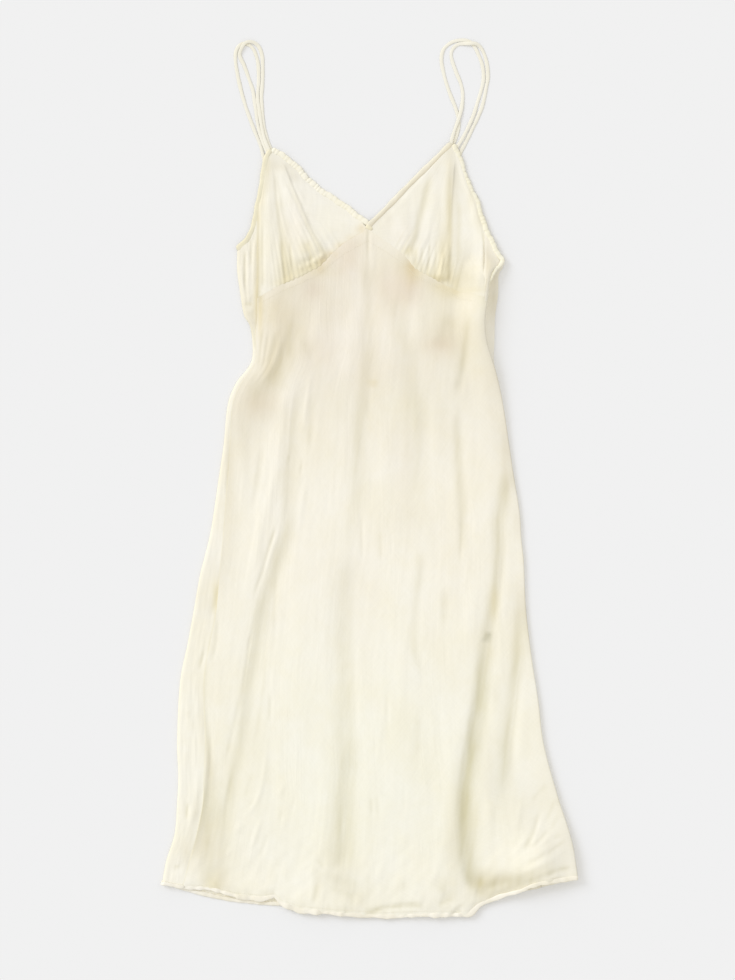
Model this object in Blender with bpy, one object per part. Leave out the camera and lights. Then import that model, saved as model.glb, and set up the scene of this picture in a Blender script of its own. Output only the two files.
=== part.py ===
"""Slip dress, laid face up on a flat surface.

The garment is a tube of thin cloth pressed nearly flat: a back panel lies on the surface, and its side
edges turn up and over to meet the front panel, which lies on it in long soft folds. Two gathered cups
are set on the front panel's pointed top, their edges are bound, and two thin straps go over each
shoulder, from the point of a cup to the top edge of the back.

Tables are in millimetres. "across" is measured from the middle of the laid dress, positive to the right
as seen from above. "down" is measured from the top of the straps towards the hem. "height" is measured
from the surface to the outer side of the cloth, and a band's height to its middle.
"""

import math
from collections import namedtuple

import bpy

MM = 0.001

# Driving dimensions
LENGTH = 1250.0  # top of the straps to the lowest point of the hem
WALL = 1.5  # thickness of the cloth's wall
GAP = 0.3  # between the edges of two pieces at a seam
TOP_OF_SIDES = 304.0  # down to the top of the back panel at the underarm
EMPIRE = 369.0  # down to the ends of the empire seam, at the sides
SIDE_HEM = 1196.0  # down to the hem at the sides
EDGE_ROUND = 3.0  # how far a side edge rounds in from the outline
SEAM_HEIGHT = 5.0  # outer side of the cloth along the empire seam
FRONT_LEVEL = 6.0  # outer side of the front panel between folds
LOWEST_FRONT = 3.4  # front panel resting on the back panel
HEM_LEVEL = 4.4  # outer side of the front panel at the hem
STRAP_SIZE = (4.5, 1.6)  # width and thickness of a strap
BINDING_THICKNESS = 3.0
CREAM = (0.87, 0.82, 0.66)

# How far in from its edges the front panel's folds ease down to the height of the seam or hem there
EASE_AT_EMPIRE = 20.0
EASE_AT_LEFT = 17.0
EASE_AT_RIGHT = 28.0
EASE_AT_HEM = 40.0
HEM_FLATTENS = 0.75  # share of a fold's height that is left at the hem
# The empire seam and the hem bend the rows of the panels' grids as far as this from them
EMPIRE_REACH = 200.0
FLAP_REACH = 70.0
HEM_REACH = 296.0

# Side edges: the outline, the seam where the back panel meets the front piece on top, and the height
# of the rounded edge.
Side = namedtuple("Side", "down outline seam height")
LEFT_SIDE = (
    Side(304, -190, -160, 4.5),
    Side(332, -190, -160, 4.5),
    Side(361, -186, -160, 4.5),
    Side(395, -180, -160, 4.5),
    Side(406, -173, -161, 4.5),
    Side(418, -170, -162, 4.6),
    Side(443, -168, -161, 4.8),
    Side(460, -170, -162, 5.0),
    Side(474, -180, -170, 5.0),
    Side(488, -193, -182, 5.0),
    Side(518, -205, -195, 5.0),
    Side(577, -211, -199, 5.0),
    Side(633, -218, -202, 5.0),
    Side(699, -230, -207, 5.0),
    Side(760, -246, -213, 5.2),
    Side(821, -255, -219, 5.4),
    Side(859, -261, -227, 5.4),
    Side(912, -273, -235, 5.4),
    Side(1001, -276, -233, 5.4),
    Side(1083, -276, -237, 5.4),
    Side(1125, -279, -246, 5.2),
    Side(1164, -291, -257, 5.0),
    Side(1196, -297, -266, 4.6),
)
RIGHT_SIDE = (
    Side(304, 186, 165, 5.5),
    Side(318, 184, 165, 6.5),
    Side(330, 178, 165, 8.0),
    Side(342, 171, 164, 9.0),
    Side(369, 166, 159, 10.0),
    Side(400, 162, 155, 10.0),
    Side(430, 164, 157, 9.5),
    Side(470, 175, 168, 8.5),
    Side(514, 186, 179, 7.5),
    Side(575, 196, 189, 7.0),
    Side(673, 212, 205, 6.5),
    Side(811, 220, 213, 6.5),
    Side(879, 230, 223, 7.0),
    Side(1001, 248, 241, 7.5),
    Side(1112, 281, 274, 8.0),
    Side(1157, 293, 286, 7.5),
    Side(1196, 297, 290, 6.0),
)

# Edges that run across the dress
Edge = namedtuple("Edge", "across down")
EMPIRE_POINT = -5.0  # across, to the point of the empire seam
EMPIRE_EDGE = (
    Edge(-160, 369), Edge(-124, 348), Edge(-101, 337), Edge(-75, 324), Edge(-61, 311),
    Edge(-38, 291), Edge(EMPIRE_POINT, 271.5), Edge(20, 288), Edge(48, 308), Edge(63, 326),
    Edge(98, 345), Edge(126, 361), Edge(163, 369),
)
FRONT_HEM = (
    Edge(-297, 1196), Edge(-266, 1200), Edge(-222, 1209), Edge(-193, 1217), Edge(-155, 1222),
    Edge(-137, 1220), Edge(-128, 1231), Edge(-101, 1240), Edge(-37, 1246), Edge(20, 1250),
    Edge(84, 1247), Edge(138, 1248), Edge(152, 1235), Edge(212, 1217), Edge(254, 1203),
    Edge(297, 1193),
)
BACK_HEM = (
    Edge(-297, 1196), Edge(-285, 1198.5), Edge(-243, 1212), Edge(-200, 1225), Edge(-143, 1230),
    Edge(-100, 1232), Edge(0, 1238), Edge(120, 1239), Edge(212, 1208), Edge(297, 1188),
)
LEFT_FLAP_TOP = (Edge(-190, 306), Edge(-180, 296), Edge(-172, 288), Edge(-160, 264))
RIGHT_FLAP_TOP = (Edge(165, 287), Edge(169, 296), Edge(179, 316.5), Edge(186, 324))

# Folds of the front panel: a path of (across, down) points, half of the fold's width, its height
# (negative for a trough) and the shares of its length over which it comes and goes.
Fold = namedtuple("Fold", "name path half_width height fade_in fade_out")
FRONT_FOLDS = (
    Fold("centre trough", ((-6, 271), (-13, 514), (-14, 741)), 11, -2.4, 0.0, 0.3),
    Fold("centre ridge", ((-24, 340), (-33, 443), (-50, 560)), 15, 1.8, 0.2, 0.5),
    Fold("inner right trough", ((37, 390), (52, 474), (56, 684)), 12, -2.2, 0.2, 0.3),
    Fold("right ridge", ((25, 350), (34, 480), (30, 640)), 14, 1.2, 0.3, 0.4),
    Fold("left waist hollow", ((-112, 395), (-133, 460), (-176, 520)), 17, -3.4, 0.3, 0.35),
    Fold("left waist pleat", ((-151, 385), (-157, 430), (-163, 462)), 5, -1.2, 0.2, 0.3),
    Fold("left ridge", ((-130, 500), (-152, 656), (-174, 775)), 13, 2.6, 0.25, 0.4),
    Fold("main left trough", ((-96, 483), (-146, 762), (-190, 1010), (-216, 1208)), 14, -3.2, 0.12, 0.1),
    Fold("lower left ridge", ((-165, 900), (-205, 1060), (-238, 1190)), 13, 1.8, 0.3, 0.1),
    Fold("left swell", ((-66, 545), (-100, 800), (-125, 1150)), 32, 1.8, 0.3, 0.2),
    Fold("left pleat", ((-136, 690), (-158, 830)), 5, -1.4, 0.3, 0.4),
    Fold("centre left trough", ((-33, 738), (-38, 997), (-48, 1240)), 16, -2.6, 0.25, 0.0),
    Fold("middle swell", ((30, 800), (28, 1020), (40, 1240)), 36, 1.6, 0.3, 0.0),
    Fold("faint trough", ((65, 738), (61, 826), (70, 1000)), 12, -1.2, 0.3, 0.4),
    Fold("right bodice trough", ((136, 395), (125, 480), (128, 738)), 9, -1.7, 0.15, 0.4),
    Fold("right side ridge", ((150, 430), (165, 560), (186, 700)), 14, 1.8, 0.3, 0.3),
    Fold(
        "great right trough", ((185, 640), (175, 784), (152, 926), (129, 1082), (150, 1240)),
        17, -4.6, 0.15, 0.0,
    ),
    Fold("ridge beside it", ((142, 820), (106, 1020), (98, 1240)), 28, 2.2, 0.3, 0.0),
    Fold("right flank", ((203, 830), (184, 990), (196, 1130), (215, 1210)), 18, 3.4, 0.25, 0.2),
    Fold("outer right trough", ((219, 811), (204, 912), (190, 1030)), 10, -1.8, 0.25, 0.4),
    Fold("hem hook", ((156, 1205), (207, 1190), (268, 1160)), 10, -2.2, 0.1, 0.3),
    Fold("hem wave", ((235, 1120), (262, 1185)), 12, 1.8, 0.4, 0.0),
)

# Bands: a route of (across, down, height) points
LEFT_NECK = (
    (-134, 161.5, 3.4), (-110, 179, 2.7), (-87, 203, 1.9), (-68, 218.5, 1.8), (-41, 236, 1.8),
    (-5.4, 262.8, 2.6),
)
RIGHT_NECK = (
    (108.8, 154.8, 3.4), (84, 179, 2.6), (50, 213, 1.6), (20, 243.5, 1.9), (-4, 267.4, 3.6),
)
LEFT_ARMHOLE = (
    (-149, 167, 3.4), (-153.5, 201, 3.4), (-160.5, 236, 3.4), (-165.5, 262, 3.6), (-175, 285, 3.7),
    (-190, 301, 3.4),
)
RIGHT_ARMHOLE = (
    (122, 162.7, 3.4), (135, 205, 3.4), (148, 231, 3.4), (157, 261, 3.6), (165, 276, 3.8),
    (173, 292, 4.0), (187, 317, 4.2),
)
Binding = namedtuple("Binding", "name route half_width waves wave_size")
BINDINGS = (
    Binding("neck_binding_left", LEFT_NECK, 3.4, 24, 0.7),
    Binding("neck_binding_right", RIGHT_NECK, 3.4, 0, 0.0),
    Binding("armhole_binding_left", LEFT_ARMHOLE, 2.8, 0, 0.0),
    Binding("armhole_binding_right", RIGHT_ARMHOLE, 2.8, 26, 0.6),
)
RINGS_PER_WAVE = 3
PLAIN_BINDING_RINGS = 16
Strap = namedtuple("Strap", "name route")
STRAPS = (
    Strap("strap_left_outer", (
        (-147, 303, 0.8), (-147, 240, 0.8), (-148, 200, 0.8), (-151, 178, 0.8), (-157, 152, 0.8),
        (-166, 130, 0.8), (-177, 101, 0.8), (-186, 68, 0.8), (-192, 38, 0.8), (-193, 24, 0.8),
        (-190.3, 14, 0.8), (-184, 8, 0.8), (-176.5, 8, 0.8), (-169, 13, 0.8), (-164, 22.7, 0.8),
        (-160.5, 37, 0.8), (-159.6, 61, 0.8), (-161, 82, 1.0), (-158.8, 98, 1.6), (-152, 126, 2.8),
        (-144.1, 147.7, 3.4), (-139.2, 163.6, 3.4),
    )),
    Strap("strap_left_inner", (
        (-137, 303, 0.8), (-137, 240, 0.8), (-136.5, 200, 0.8), (-135, 178, 0.8), (-134, 161, 0.8),
        (-138.2, 147.7, 0.8), (-146.2, 126, 0.8), (-153.4, 98, 0.8), (-155.6, 82, 0.8),
        (-154.2, 61, 0.8), (-154.2, 37, 0.8), (-155.8, 21.3, 0.8), (-160.5, 10.6, 1.1), (-169, 5, 2.3),
        (-177.5, 5.7, 2.8), (-183.9, 13.5, 2.8), (-186.7, 24, 1.6), (-180, 39, 0.9), (-173.2, 58, 0.8),
        (-168.1, 74, 0.8), (-164.3, 98, 1.2), (-158.3, 126, 2.4), (-149.8, 147.7, 3.4),
        (-144.2, 165, 3.4),
    )),
    Strap("strap_right_outer", (
        (111, 303, 0.8), (110.5, 240, 0.8), (110, 200, 0.8), (110.5, 175, 0.8), (112, 157, 0.8),
        (115.5, 144, 0.8), (118.5, 136, 0.8), (122.5, 122, 0.8), (123.5, 111, 0.8), (120.5, 99, 0.8),
        (113.5, 82, 0.8), (106, 61, 0.8), (101, 40, 0.8), (100, 28, 0.8), (103, 16, 0.8),
        (111.5, 7.5, 0.8), (121, 3.4, 0.8), (132, 2.4, 0.8), (140, 4.6, 0.8), (146.5, 10.5, 0.8),
        (151.5, 20, 0.8), (157.5, 36, 0.8), (159.8, 55.4, 0.8), (157, 72, 0.8), (151.3, 91.5, 0.8),
        (144.3, 108.5, 1.2), (134.3, 128.3, 2.6), (125.5, 146, 3.4), (119, 159.6, 3.4),
    )),
    Strap("strap_right_inner", (
        (126, 303, 0.8), (126, 240, 0.8), (125.5, 200, 0.8), (125, 175, 0.8), (126.5, 161, 0.8),
        (131.8, 149.5, 0.8), (140.3, 132, 0.8), (150.2, 112, 0.8), (157.4, 94.3, 0.8), (163, 73, 0.8),
        (166, 55.4, 0.8), (164.8, 36, 0.8), (160.5, 21, 0.8), (154.5, 11.5, 1.6), (148, 7.5, 2.8),
        (140.5, 7.4, 2.8), (133, 7.5, 1.6), (125, 8.3, 0.8), (118, 12.5, 0.8), (114, 20, 0.8),
        (114.5, 29.5, 0.8), (120.3, 47, 0.8), (127.5, 64, 0.8), (130.5, 79, 0.8), (129.6, 95, 1.4),
        (126.3, 111, 2.8), (120.4, 128, 2.8), (116, 142, 3.2), (113.2, 155, 3.4),
    )),
)
STRAP_STEP = 9.0  # along a strap, from ring to ring

# Cups: the seam with the side flap, the corner at the middle of the neckline, folds in the cup's own
# measures (share across from the side seam, share down from the point), and the stretch of gathers.
Cup = namedtuple("Cup", "name side corner floor_from floor_to gathers_from gathers_to folds")
CupFold = namedtuple("CupFold", "start end half_width height")
CUPS = (
    Cup("cup_left", -1, (-10.5, 268.3), -122, -100, -124, -60, (
        CupFold((0.62, 0.1), (0.90, 1.0), 0.05, -2.2),
        CupFold((0.3, 0.1), (0.30, 1.0), 0.07, -2.4),
        CupFold((0.45, 0.2), (0.58, 1.0), 0.09, 1.8),
        CupFold((0.12, 0.3), (0.12, 1.0), 0.08, 1.2),
    )),
    Cup("cup_right", 1, (1.6, 271.2), 92, 70, 52, 106, (
        CupFold((0.3, 0.1), (0.30, 1.0), 0.06, -3.0),
        CupFold((0.14, 0.35), (0.14, 1.0), 0.05, -1.4),
        CupFold((0.7, 0.15), (0.72, 1.0), 0.08, -1.6),
        CupFold((0.46, 0.2), (0.50, 1.0), 0.09, 1.6),
    )),
)
GATHER_PITCH = 6.4
GATHER_HEIGHT = 1.1
GATHER_REACH = 0.55  # share of the cup, up from the empire seam
CUP_FULLNESS = 3.2  # height of a cup's swell
SWELL_COMES = 0.62  # over this share of the cup, down from its point
SWELL_GOES = 0.2  # over this share, above the empire seam
FOLD_COMES = 0.4  # share of a cup's fold over which it comes
CUP_EDGE_HEIGHT = 4.15
UNDER_CUP = 1.9  # room for the straps and for the back panel's top edge
BACK_EDGE_RISE = (26.0, 6.0)  # where the cup rises to clear that edge, measured up the dress from it
CUP_ROWS = 12
CUP_PLAIN_COLUMNS = 9
CUP_EDGE_POINTS = 16
LEAVES_BINDING = 280.0  # down to where a cup's edge leaves the armhole's binding for the side flap
FLAP_CORNER = 14.0  # from there down to the straight part beside the flap
SEAM_EASE = 0.6  # between the cups' lower edge and the front panel, measured down the dress
SIDE_EASE = 0.7  # between a cup and the side flap beside it
FRONT_COLUMNS = (17, 18)  # left and right of the empire seam's point
ROW_STEPS = ((EMPIRE, 519.0, 10), (519.0, 1141.0, 20), (1141.0, SIDE_HEM, 3))
FLAP_ROWS = (304.0, 312.0, 322.0, 333.0, 345.0, 357.0)
FLAP_COLUMNS = 6
BACK_COLUMNS = 6
CRINKLE = 0.5  # height of the flap's crinkles, and how far down they go
CRINKLES_END = 410.0


def eased(share):
    share = min(max(share, 0.0), 1.0)
    return share * share * (3.0 - 2.0 * share)


def blend(first, second, share):
    return first + (second - first) * share


def through(knots, values, at):
    """A smooth curve through the values at the knots, with slopes from the neighbours."""
    at = min(max(at, knots[0]), knots[-1])
    i = max(k for k in range(len(knots) - 1) if knots[k] <= at)
    step = knots[i + 1] - knots[i]

    def slope(k):
        low, high = max(k - 1, 0), min(k + 1, len(knots) - 1)
        return (values[high] - values[low]) / (knots[high] - knots[low])

    t = (at - knots[i]) / step
    return (
        values[i] * (2 * t**3 - 3 * t**2 + 1) + values[i + 1] * (3 * t**2 - 2 * t**3)
        + step * (slope(i) * (t**3 - 2 * t**2 + t) + slope(i + 1) * (t**3 - t**2))
    )


def side_at(rows, down):
    """Outline, seam and height of a side edge at a place down the dress."""
    knots = [row.down for row in rows]
    return tuple(through(knots, [row[column] for row in rows], down) for column in (1, 2, 3))


def edge_at(edge, across):
    knots = [point.across for point in edge]
    across = min(max(across, knots[0]), knots[-1])
    i = max(k for k in range(len(knots) - 1) if knots[k] <= across)
    share = (across - knots[i]) / (knots[i + 1] - knots[i])
    return blend(edge[i].down, edge[i + 1].down, share)


def smooth_route(points, count):
    """Evenly spread points along a smooth curve through the given ones."""
    lengths = [0.0]
    for a, b in zip(points, points[1:]):
        lengths.append(lengths[-1] + math.dist(a, b))
    axes = list(zip(*points))
    stops = [lengths[-1] * i / (count - 1) for i in range(count)]
    return [tuple(through(lengths, axis, stop) for axis in axes) for stop in stops]


def nearest(path, across, down):
    """Distance to a path, and the share of its length where it is nearest."""
    best = (math.inf, 0.0)
    for i, ((ax, ay), (bx, by)) in enumerate(zip(path, path[1:])):
        dx, dy = bx - ax, by - ay
        t = min(max(((across - ax) * dx + (down - ay) * dy) / (dx * dx + dy * dy), 0.0), 1.0)
        distance = math.hypot(across - ax - t * dx, down - ay - t * dy)
        if distance < best[0]:
            best = (distance, (i + t) / (len(path) - 1))
    return best


def at_least(height, least):
    """The height, eased so that it never falls below the least one."""
    return least + math.log1p(math.exp(2.0 * (height - least))) / 2.0


def bell(distance, half_width):
    """1 on a fold's line and a quarter of that at its half width."""
    return 4.0 ** -((distance / half_width) ** 2)


def came_and_went(fold, share):
    """1 along a fold, easing to 0 at an end that fades."""
    start = eased(share / fold.fade_in) if fold.fade_in else 1.0
    return start * (eased((1.0 - share) / fold.fade_out) if fold.fade_out else 1.0)


def place(across, down, height):
    return (across * MM, (LENGTH / 2 - down) * MM, height * MM)


def fabric():
    material = bpy.data.materials.new("cream_silk")
    material.use_nodes = True
    shader = material.node_tree.nodes["Principled BSDF"]
    shader.inputs["Base Color"].default_value = (*CREAM, 1.0)
    shader.inputs["Roughness"].default_value = 0.55
    shader.inputs["Metallic"].default_value = 0.0
    return material


def finish(obj):
    bpy.context.scene.collection.objects.link(obj)
    material = fabric()
    material.name = obj.name + "_silk"
    obj.data.materials.append(material)


def cloth(name, rows):
    """A grid of outer points, given row by row, made a wall that thickens inwards."""
    columns = len(rows[0])
    points = [place(*point) for row in rows for point in row]
    faces = [
        (r * columns + c, r * columns + c + 1, (r + 1) * columns + c + 1, (r + 1) * columns + c)
        for r in range(len(rows) - 1) for c in range(columns - 1)
    ]
    mesh = bpy.data.meshes.new(name)
    mesh.from_pydata(points, [], faces)
    mesh.flip_normals()
    mesh.shade_smooth()
    obj = bpy.data.objects.new(name, mesh)
    finish(obj)
    wall = obj.modifiers.new("Wall", "SOLIDIFY")
    wall.thickness = WALL * MM
    wall.offset = -1.0
    wall.use_even_offset = True


def shared_rows():
    """Places down the side seams that the front and the back panel both have a row at."""
    rows = []
    for start, end, count in ROW_STEPS:
        rows += [blend(start, end, i / count) for i in range(count)]
    return rows + [SIDE_HEM]


def nearness(down, edge, reach):
    """1 at an edge, easing to 0 at the end of its reach."""
    return max(1.0 - abs(down - edge) / reach, 0.0) ** 2


def front_height(across, down, left, right):
    """Outer side of the front panel between its seams, given as (across, height)."""
    height = FRONT_LEVEL
    for fold in FRONT_FOLDS:
        distance, share = nearest(fold.path, across, down)
        if distance < 2.5 * fold.half_width:
            height += fold.height * bell(distance, fold.half_width) * came_and_went(fold, share)
    at_hem = HEM_LEVEL + HEM_FLATTENS * (height - FRONT_LEVEL)
    height = blend(at_hem, height, eased((edge_at(FRONT_HEM, across) - down) / EASE_AT_HEM))
    height = at_least(height, LOWEST_FRONT)
    height = blend(SEAM_HEIGHT, height, eased((down - edge_at(EMPIRE_EDGE, across)) / EASE_AT_EMPIRE))
    height = blend(left[1], height, eased((across - left[0]) / EASE_AT_LEFT))
    return blend(right[1], height, eased((right[0] - across) / EASE_AT_RIGHT))


def front_rows():
    left_count, right_count = FRONT_COLUMNS
    left_top, right_top = side_at(LEFT_SIDE, EMPIRE)[1], side_at(RIGHT_SIDE, EMPIRE)[1]
    point = (EMPIRE_POINT - left_top) / (right_top - left_top)
    shares = [point * i / left_count for i in range(left_count)]
    shares += [blend(point, 1.0, i / right_count) for i in range(right_count + 1)]
    rows = []
    for level in shared_rows():
        left, right = side_at(LEFT_SIDE, level), side_at(RIGHT_SIDE, level)
        row = []
        for share in shares:
            across = blend(left[1] + GAP, right[1] - GAP, share)
            down = level + (edge_at(EMPIRE_EDGE, across) - EMPIRE) * nearness(level, EMPIRE, EMPIRE_REACH)
            down += (edge_at(FRONT_HEM, across) - SIDE_HEM) * nearness(level, SIDE_HEM, HEM_REACH)
            row.append((across, down, front_height(across, down, left[1:], right[1:])))
        rows.append(row)
    return rows


def turned_edge(outline, height, sign, degrees):
    """A point on the rounded edge: 90 degrees is the top, 270 the surface below."""
    angle = math.radians(degrees)
    return (outline + sign * EDGE_ROUND * (1.0 + math.cos(angle)), height / 2 * (1.0 + math.sin(angle)))


def back_rows():
    rows = []
    for level in FLAP_ROWS + tuple(shared_rows()):
        left, right = side_at(LEFT_SIDE, level), side_at(RIGHT_SIDE, level)
        at_flap = nearness(level, TOP_OF_SIDES, FLAP_REACH)
        at_hem = nearness(level, SIDE_HEM, HEM_REACH)
        crinkle = CRINKLE * eased((CRINKLES_END - level) / EASE_AT_HEM)
        row = []

        def add(across, height, top_edge, hem_edge):
            down = level + (edge_at(hem_edge, across) - SIDE_HEM) * at_hem
            if top_edge:
                down += (edge_at(top_edge, across) - TOP_OF_SIDES) * at_flap
            row.append((across, down, height))

        for i in range(FLAP_COLUMNS + 1):
            across = blend(left[1], left[0] + EDGE_ROUND, i / FLAP_COLUMNS)
            wave = crinkle * (-1) ** i if 0 < i < FLAP_COLUMNS else 0.0
            add(across, left[2] + wave, LEFT_FLAP_TOP, FRONT_HEM)
        for degrees in (135, 180, 225):
            add(*turned_edge(left[0], left[2], 1, degrees), LEFT_FLAP_TOP, BACK_HEM)
        for i in range(BACK_COLUMNS + 1):
            add(blend(left[0] + EDGE_ROUND, right[0] - EDGE_ROUND, i / BACK_COLUMNS), 0.0, None, BACK_HEM)
        for degrees in (225, 180, 135):
            add(*turned_edge(right[0], right[2], -1, degrees), RIGHT_FLAP_TOP, BACK_HEM)
        for share in (0.0, 0.5, 1.0):
            add(blend(right[0] - EDGE_ROUND, right[1], share), right[2], RIGHT_FLAP_TOP, FRONT_HEM)
        rows.append(row[::-1])
    return rows


def beside(route, offset):
    """The route moved sideways, positive to the left of the way it runs as seen from above."""
    moved = []
    for i, point in enumerate(route):
        before, after = route[max(i - 1, 0)], route[min(i + 1, len(route) - 1)]
        dx, dy = after[0] - before[0], after[1] - before[1]
        run = math.hypot(dx, dy)
        moved.append((point[0] + offset * dy / run, point[1] - offset * dx / run, point[2]))
    return moved


def beside_binding(binding, side):
    """A cup's edge, clear of the binding: side is 1 for a cup to the left of the way that it runs."""
    clear = binding.half_width + binding.wave_size + GAP
    return beside(smooth_route(binding.route, CUP_EDGE_POINTS), clear * side)


def cup_edges(cup, empire_points):
    """The cup's armhole and side edge, its neck edge and its lower edge, from the side to the middle."""
    first = 0 if cup.side < 0 else 1
    neck_binding, armhole_binding = BINDINGS[first], BINDINGS[first + 2]
    sides = LEFT_SIDE if cup.side < 0 else RIGHT_SIDE

    neck = [(x, y, height + WALL / 2) for x, y, height in beside_binding(neck_binding, cup.side)]
    neck = neck[:-2] + [(*cup.corner, SEAM_HEIGHT)]
    armhole = [
        (x, y, CUP_EDGE_HEIGHT)
        for x, y, height in beside_binding(armhole_binding, -cup.side)
        if (side_at(sides, TOP_OF_SIDES)[1] - x) * cup.side > 1.0 and y < LEAVES_BINDING
    ]
    side_top = armhole[-1][1] + FLAP_CORNER
    for share in (0.0, 0.2, 0.4, 0.6, 0.8):
        down = blend(side_top, EMPIRE - SEAM_EASE, share)
        outline, seam, height = side_at(sides, max(down, TOP_OF_SIDES))
        height = blend(CUP_EDGE_HEIGHT, height, eased(share * 2))
        armhole.append((seam - cup.side * SIDE_EASE, down, height))
    outline, seam, height = side_at(sides, EMPIRE)
    corner = (seam - cup.side * SIDE_EASE, EMPIRE - SEAM_EASE, SEAM_HEIGHT)
    armhole.append(corner)

    places = cup_columns(cup, corner[0])
    lower = [corner]
    for across in places[1:-1]:
        i = max(k for k in range(len(empire_points) - 1) if empire_points[k][0] <= across)
        a, b = empire_points[i], empire_points[i + 1]
        down = blend(a[1], b[1], (across - a[0]) / (b[0] - a[0]))
        lower.append((across, down - SEAM_EASE, SEAM_HEIGHT))
    lower.append((*cup.corner, SEAM_HEIGHT))
    return armhole, neck, lower


def cup_columns(cup, start):
    """Places across the lower edge: two to a gather where it is gathered, and wider beside that."""
    low, high = sorted((start, cup.corner[0]))
    places = []
    gathers = round((cup.gathers_to - cup.gathers_from) / GATHER_PITCH * 2)
    before = max(round((cup.gathers_from - low) / CUP_PLAIN_COLUMNS), 1)
    after = max(round((high - cup.gathers_to) / CUP_PLAIN_COLUMNS), 1)
    places += [blend(low, cup.gathers_from, i / before) for i in range(before)]
    places += [blend(cup.gathers_from, cup.gathers_to, i / gathers) for i in range(gathers)]
    places += [blend(cup.gathers_to, high, i / after) for i in range(after + 1)]
    return places if cup.side < 0 else places[::-1]


def cup_floor(cup, across, down):
    """What a cup lies on: the straps that run beneath its point, the back panel's top edge or the surface."""
    on_straps = eased((across - cup.floor_to) / (cup.floor_from - cup.floor_to))
    starts, ends = BACK_EDGE_RISE
    on_back = eased((down - TOP_OF_SIDES + starts) / (starts - ends))
    return UNDER_CUP * max(on_straps, on_back)


def cup_relief(cup, share_across, share_down, gather):
    relief = CUP_FULLNESS * (4 * share_across * (1 - share_across)) ** 0.7
    relief *= eased(share_down / SWELL_COMES) * eased((1 - share_down) / SWELL_GOES)
    for fold in cup.folds:
        along = (share_down - fold.start[1]) / (fold.end[1] - fold.start[1])
        if along > 0:
            middle = blend(fold.start[0], fold.end[0], along)
            relief += fold.height * bell(share_across - middle, fold.half_width) * eased(along / FOLD_COMES)
    return relief + gather * GATHER_HEIGHT * eased((share_down - 1 + GATHER_REACH) / GATHER_REACH)


def cup_rows(cup, empire_points):
    """The cup spread between its edges, with u from the side to the middle and v down from the point."""
    armhole, neck, lower = cup_edges(cup, empire_points)
    left_edge, right_edge = smooth_route(armhole, CUP_ROWS + 1), smooth_route(neck, CUP_ROWS + 1)
    span = lower[-1][0] - lower[0][0]
    shares = [(point[0] - lower[0][0]) / span for point in lower]
    rows = []
    for r in range(CUP_ROWS + 1):
        v = r / CUP_ROWS
        row = []
        for u, bottom in zip(shares, lower):
            point = [
                v * bottom[k] + (1 - u) * left_edge[r][k] + u * right_edge[r][k]
                - v * blend(lower[0][k], lower[-1][k], u)
                for k in range(3)
            ]
            inside = (bottom[0] - cup.gathers_from) * (cup.gathers_to - bottom[0]) > 1.0
            wave = math.cos(2 * math.pi * (bottom[0] - cup.gathers_from) / GATHER_PITCH) if inside else 0.0
            window = eased(min(u, 1 - u) / 0.08)
            point[2] += cup_relief(cup, u, v, wave) * window
            point[2] = max(point[2], at_least(point[2], cup_floor(cup, *point[:2]) + WALL) * window)
            row.append(tuple(point))
        rows.append(row)
    return rows if cup.side < 0 else [row[::-1] for row in rows]


def section_curve(name, half_width, half_thickness):
    """A flat oval that bands are swept with."""
    curve = bpy.data.curves.new(name, "CURVE")
    curve.dimensions = "2D"
    curve.resolution_u = 2
    spline = curve.splines.new("POLY")
    sides = 6
    spline.points.add(sides - 1)
    for i in range(sides):
        angle = -2 * math.pi * i / sides
        spline.points[i].co = (half_width * math.cos(angle) * MM, half_thickness * math.sin(angle) * MM, 0, 1)
    spline.use_cyclic_u = True
    obj = bpy.data.objects.new(name, curve)
    obj.hide_render = True
    obj.display_type = "WIRE"
    bpy.context.scene.collection.objects.link(obj)
    return obj


def band(name, points, widths, section):
    curve = bpy.data.curves.new(name, "CURVE")
    curve.dimensions = "3D"
    curve.twist_mode = "Z_UP"
    curve.bevel_mode = "OBJECT"
    curve.bevel_object = section
    curve.use_fill_caps = True
    spline = curve.splines.new("POLY")
    spline.points.add(len(points) - 1)
    for target, point, width in zip(spline.points, points, widths):
        target.co = (*place(*point), 1)
        target.radius = width
    finish(bpy.data.objects.new(name, curve))


def make_bindings():
    for binding in BINDINGS:
        section = section_curve(binding.name + "_section", binding.half_width, BINDING_THICKNESS / 2)
        rings = binding.waves * RINGS_PER_WAVE + 1 if binding.waves else PLAIN_BINDING_RINGS
        points = smooth_route(binding.route, rings)
        wave = binding.wave_size / binding.half_width
        widths = [1.0 + wave * math.cos(2 * math.pi * i / RINGS_PER_WAVE) for i in range(rings)]
        band(binding.name, points, widths, section)


def make_straps():
    section = section_curve("strap_section", STRAP_SIZE[0] / 2, STRAP_SIZE[1] / 2)
    for strap in STRAPS:
        length = sum(math.dist(a, b) for a, b in zip(strap.route, strap.route[1:]))
        points = smooth_route(strap.route, round(length / STRAP_STEP))
        band(strap.name, points, [1.0] * len(points), section)


def main():
    for obj in list(bpy.data.objects):
        bpy.data.objects.remove(obj)
    front = front_rows()
    cloth("front_panel", front)
    cloth("back_panel", back_rows())
    for cup in CUPS:
        cloth(cup.name, cup_rows(cup, front[0]))
    make_bindings()
    make_straps()


main()
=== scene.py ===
import math
import random

import bpy
import numpy as np
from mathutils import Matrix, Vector, noise


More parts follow.
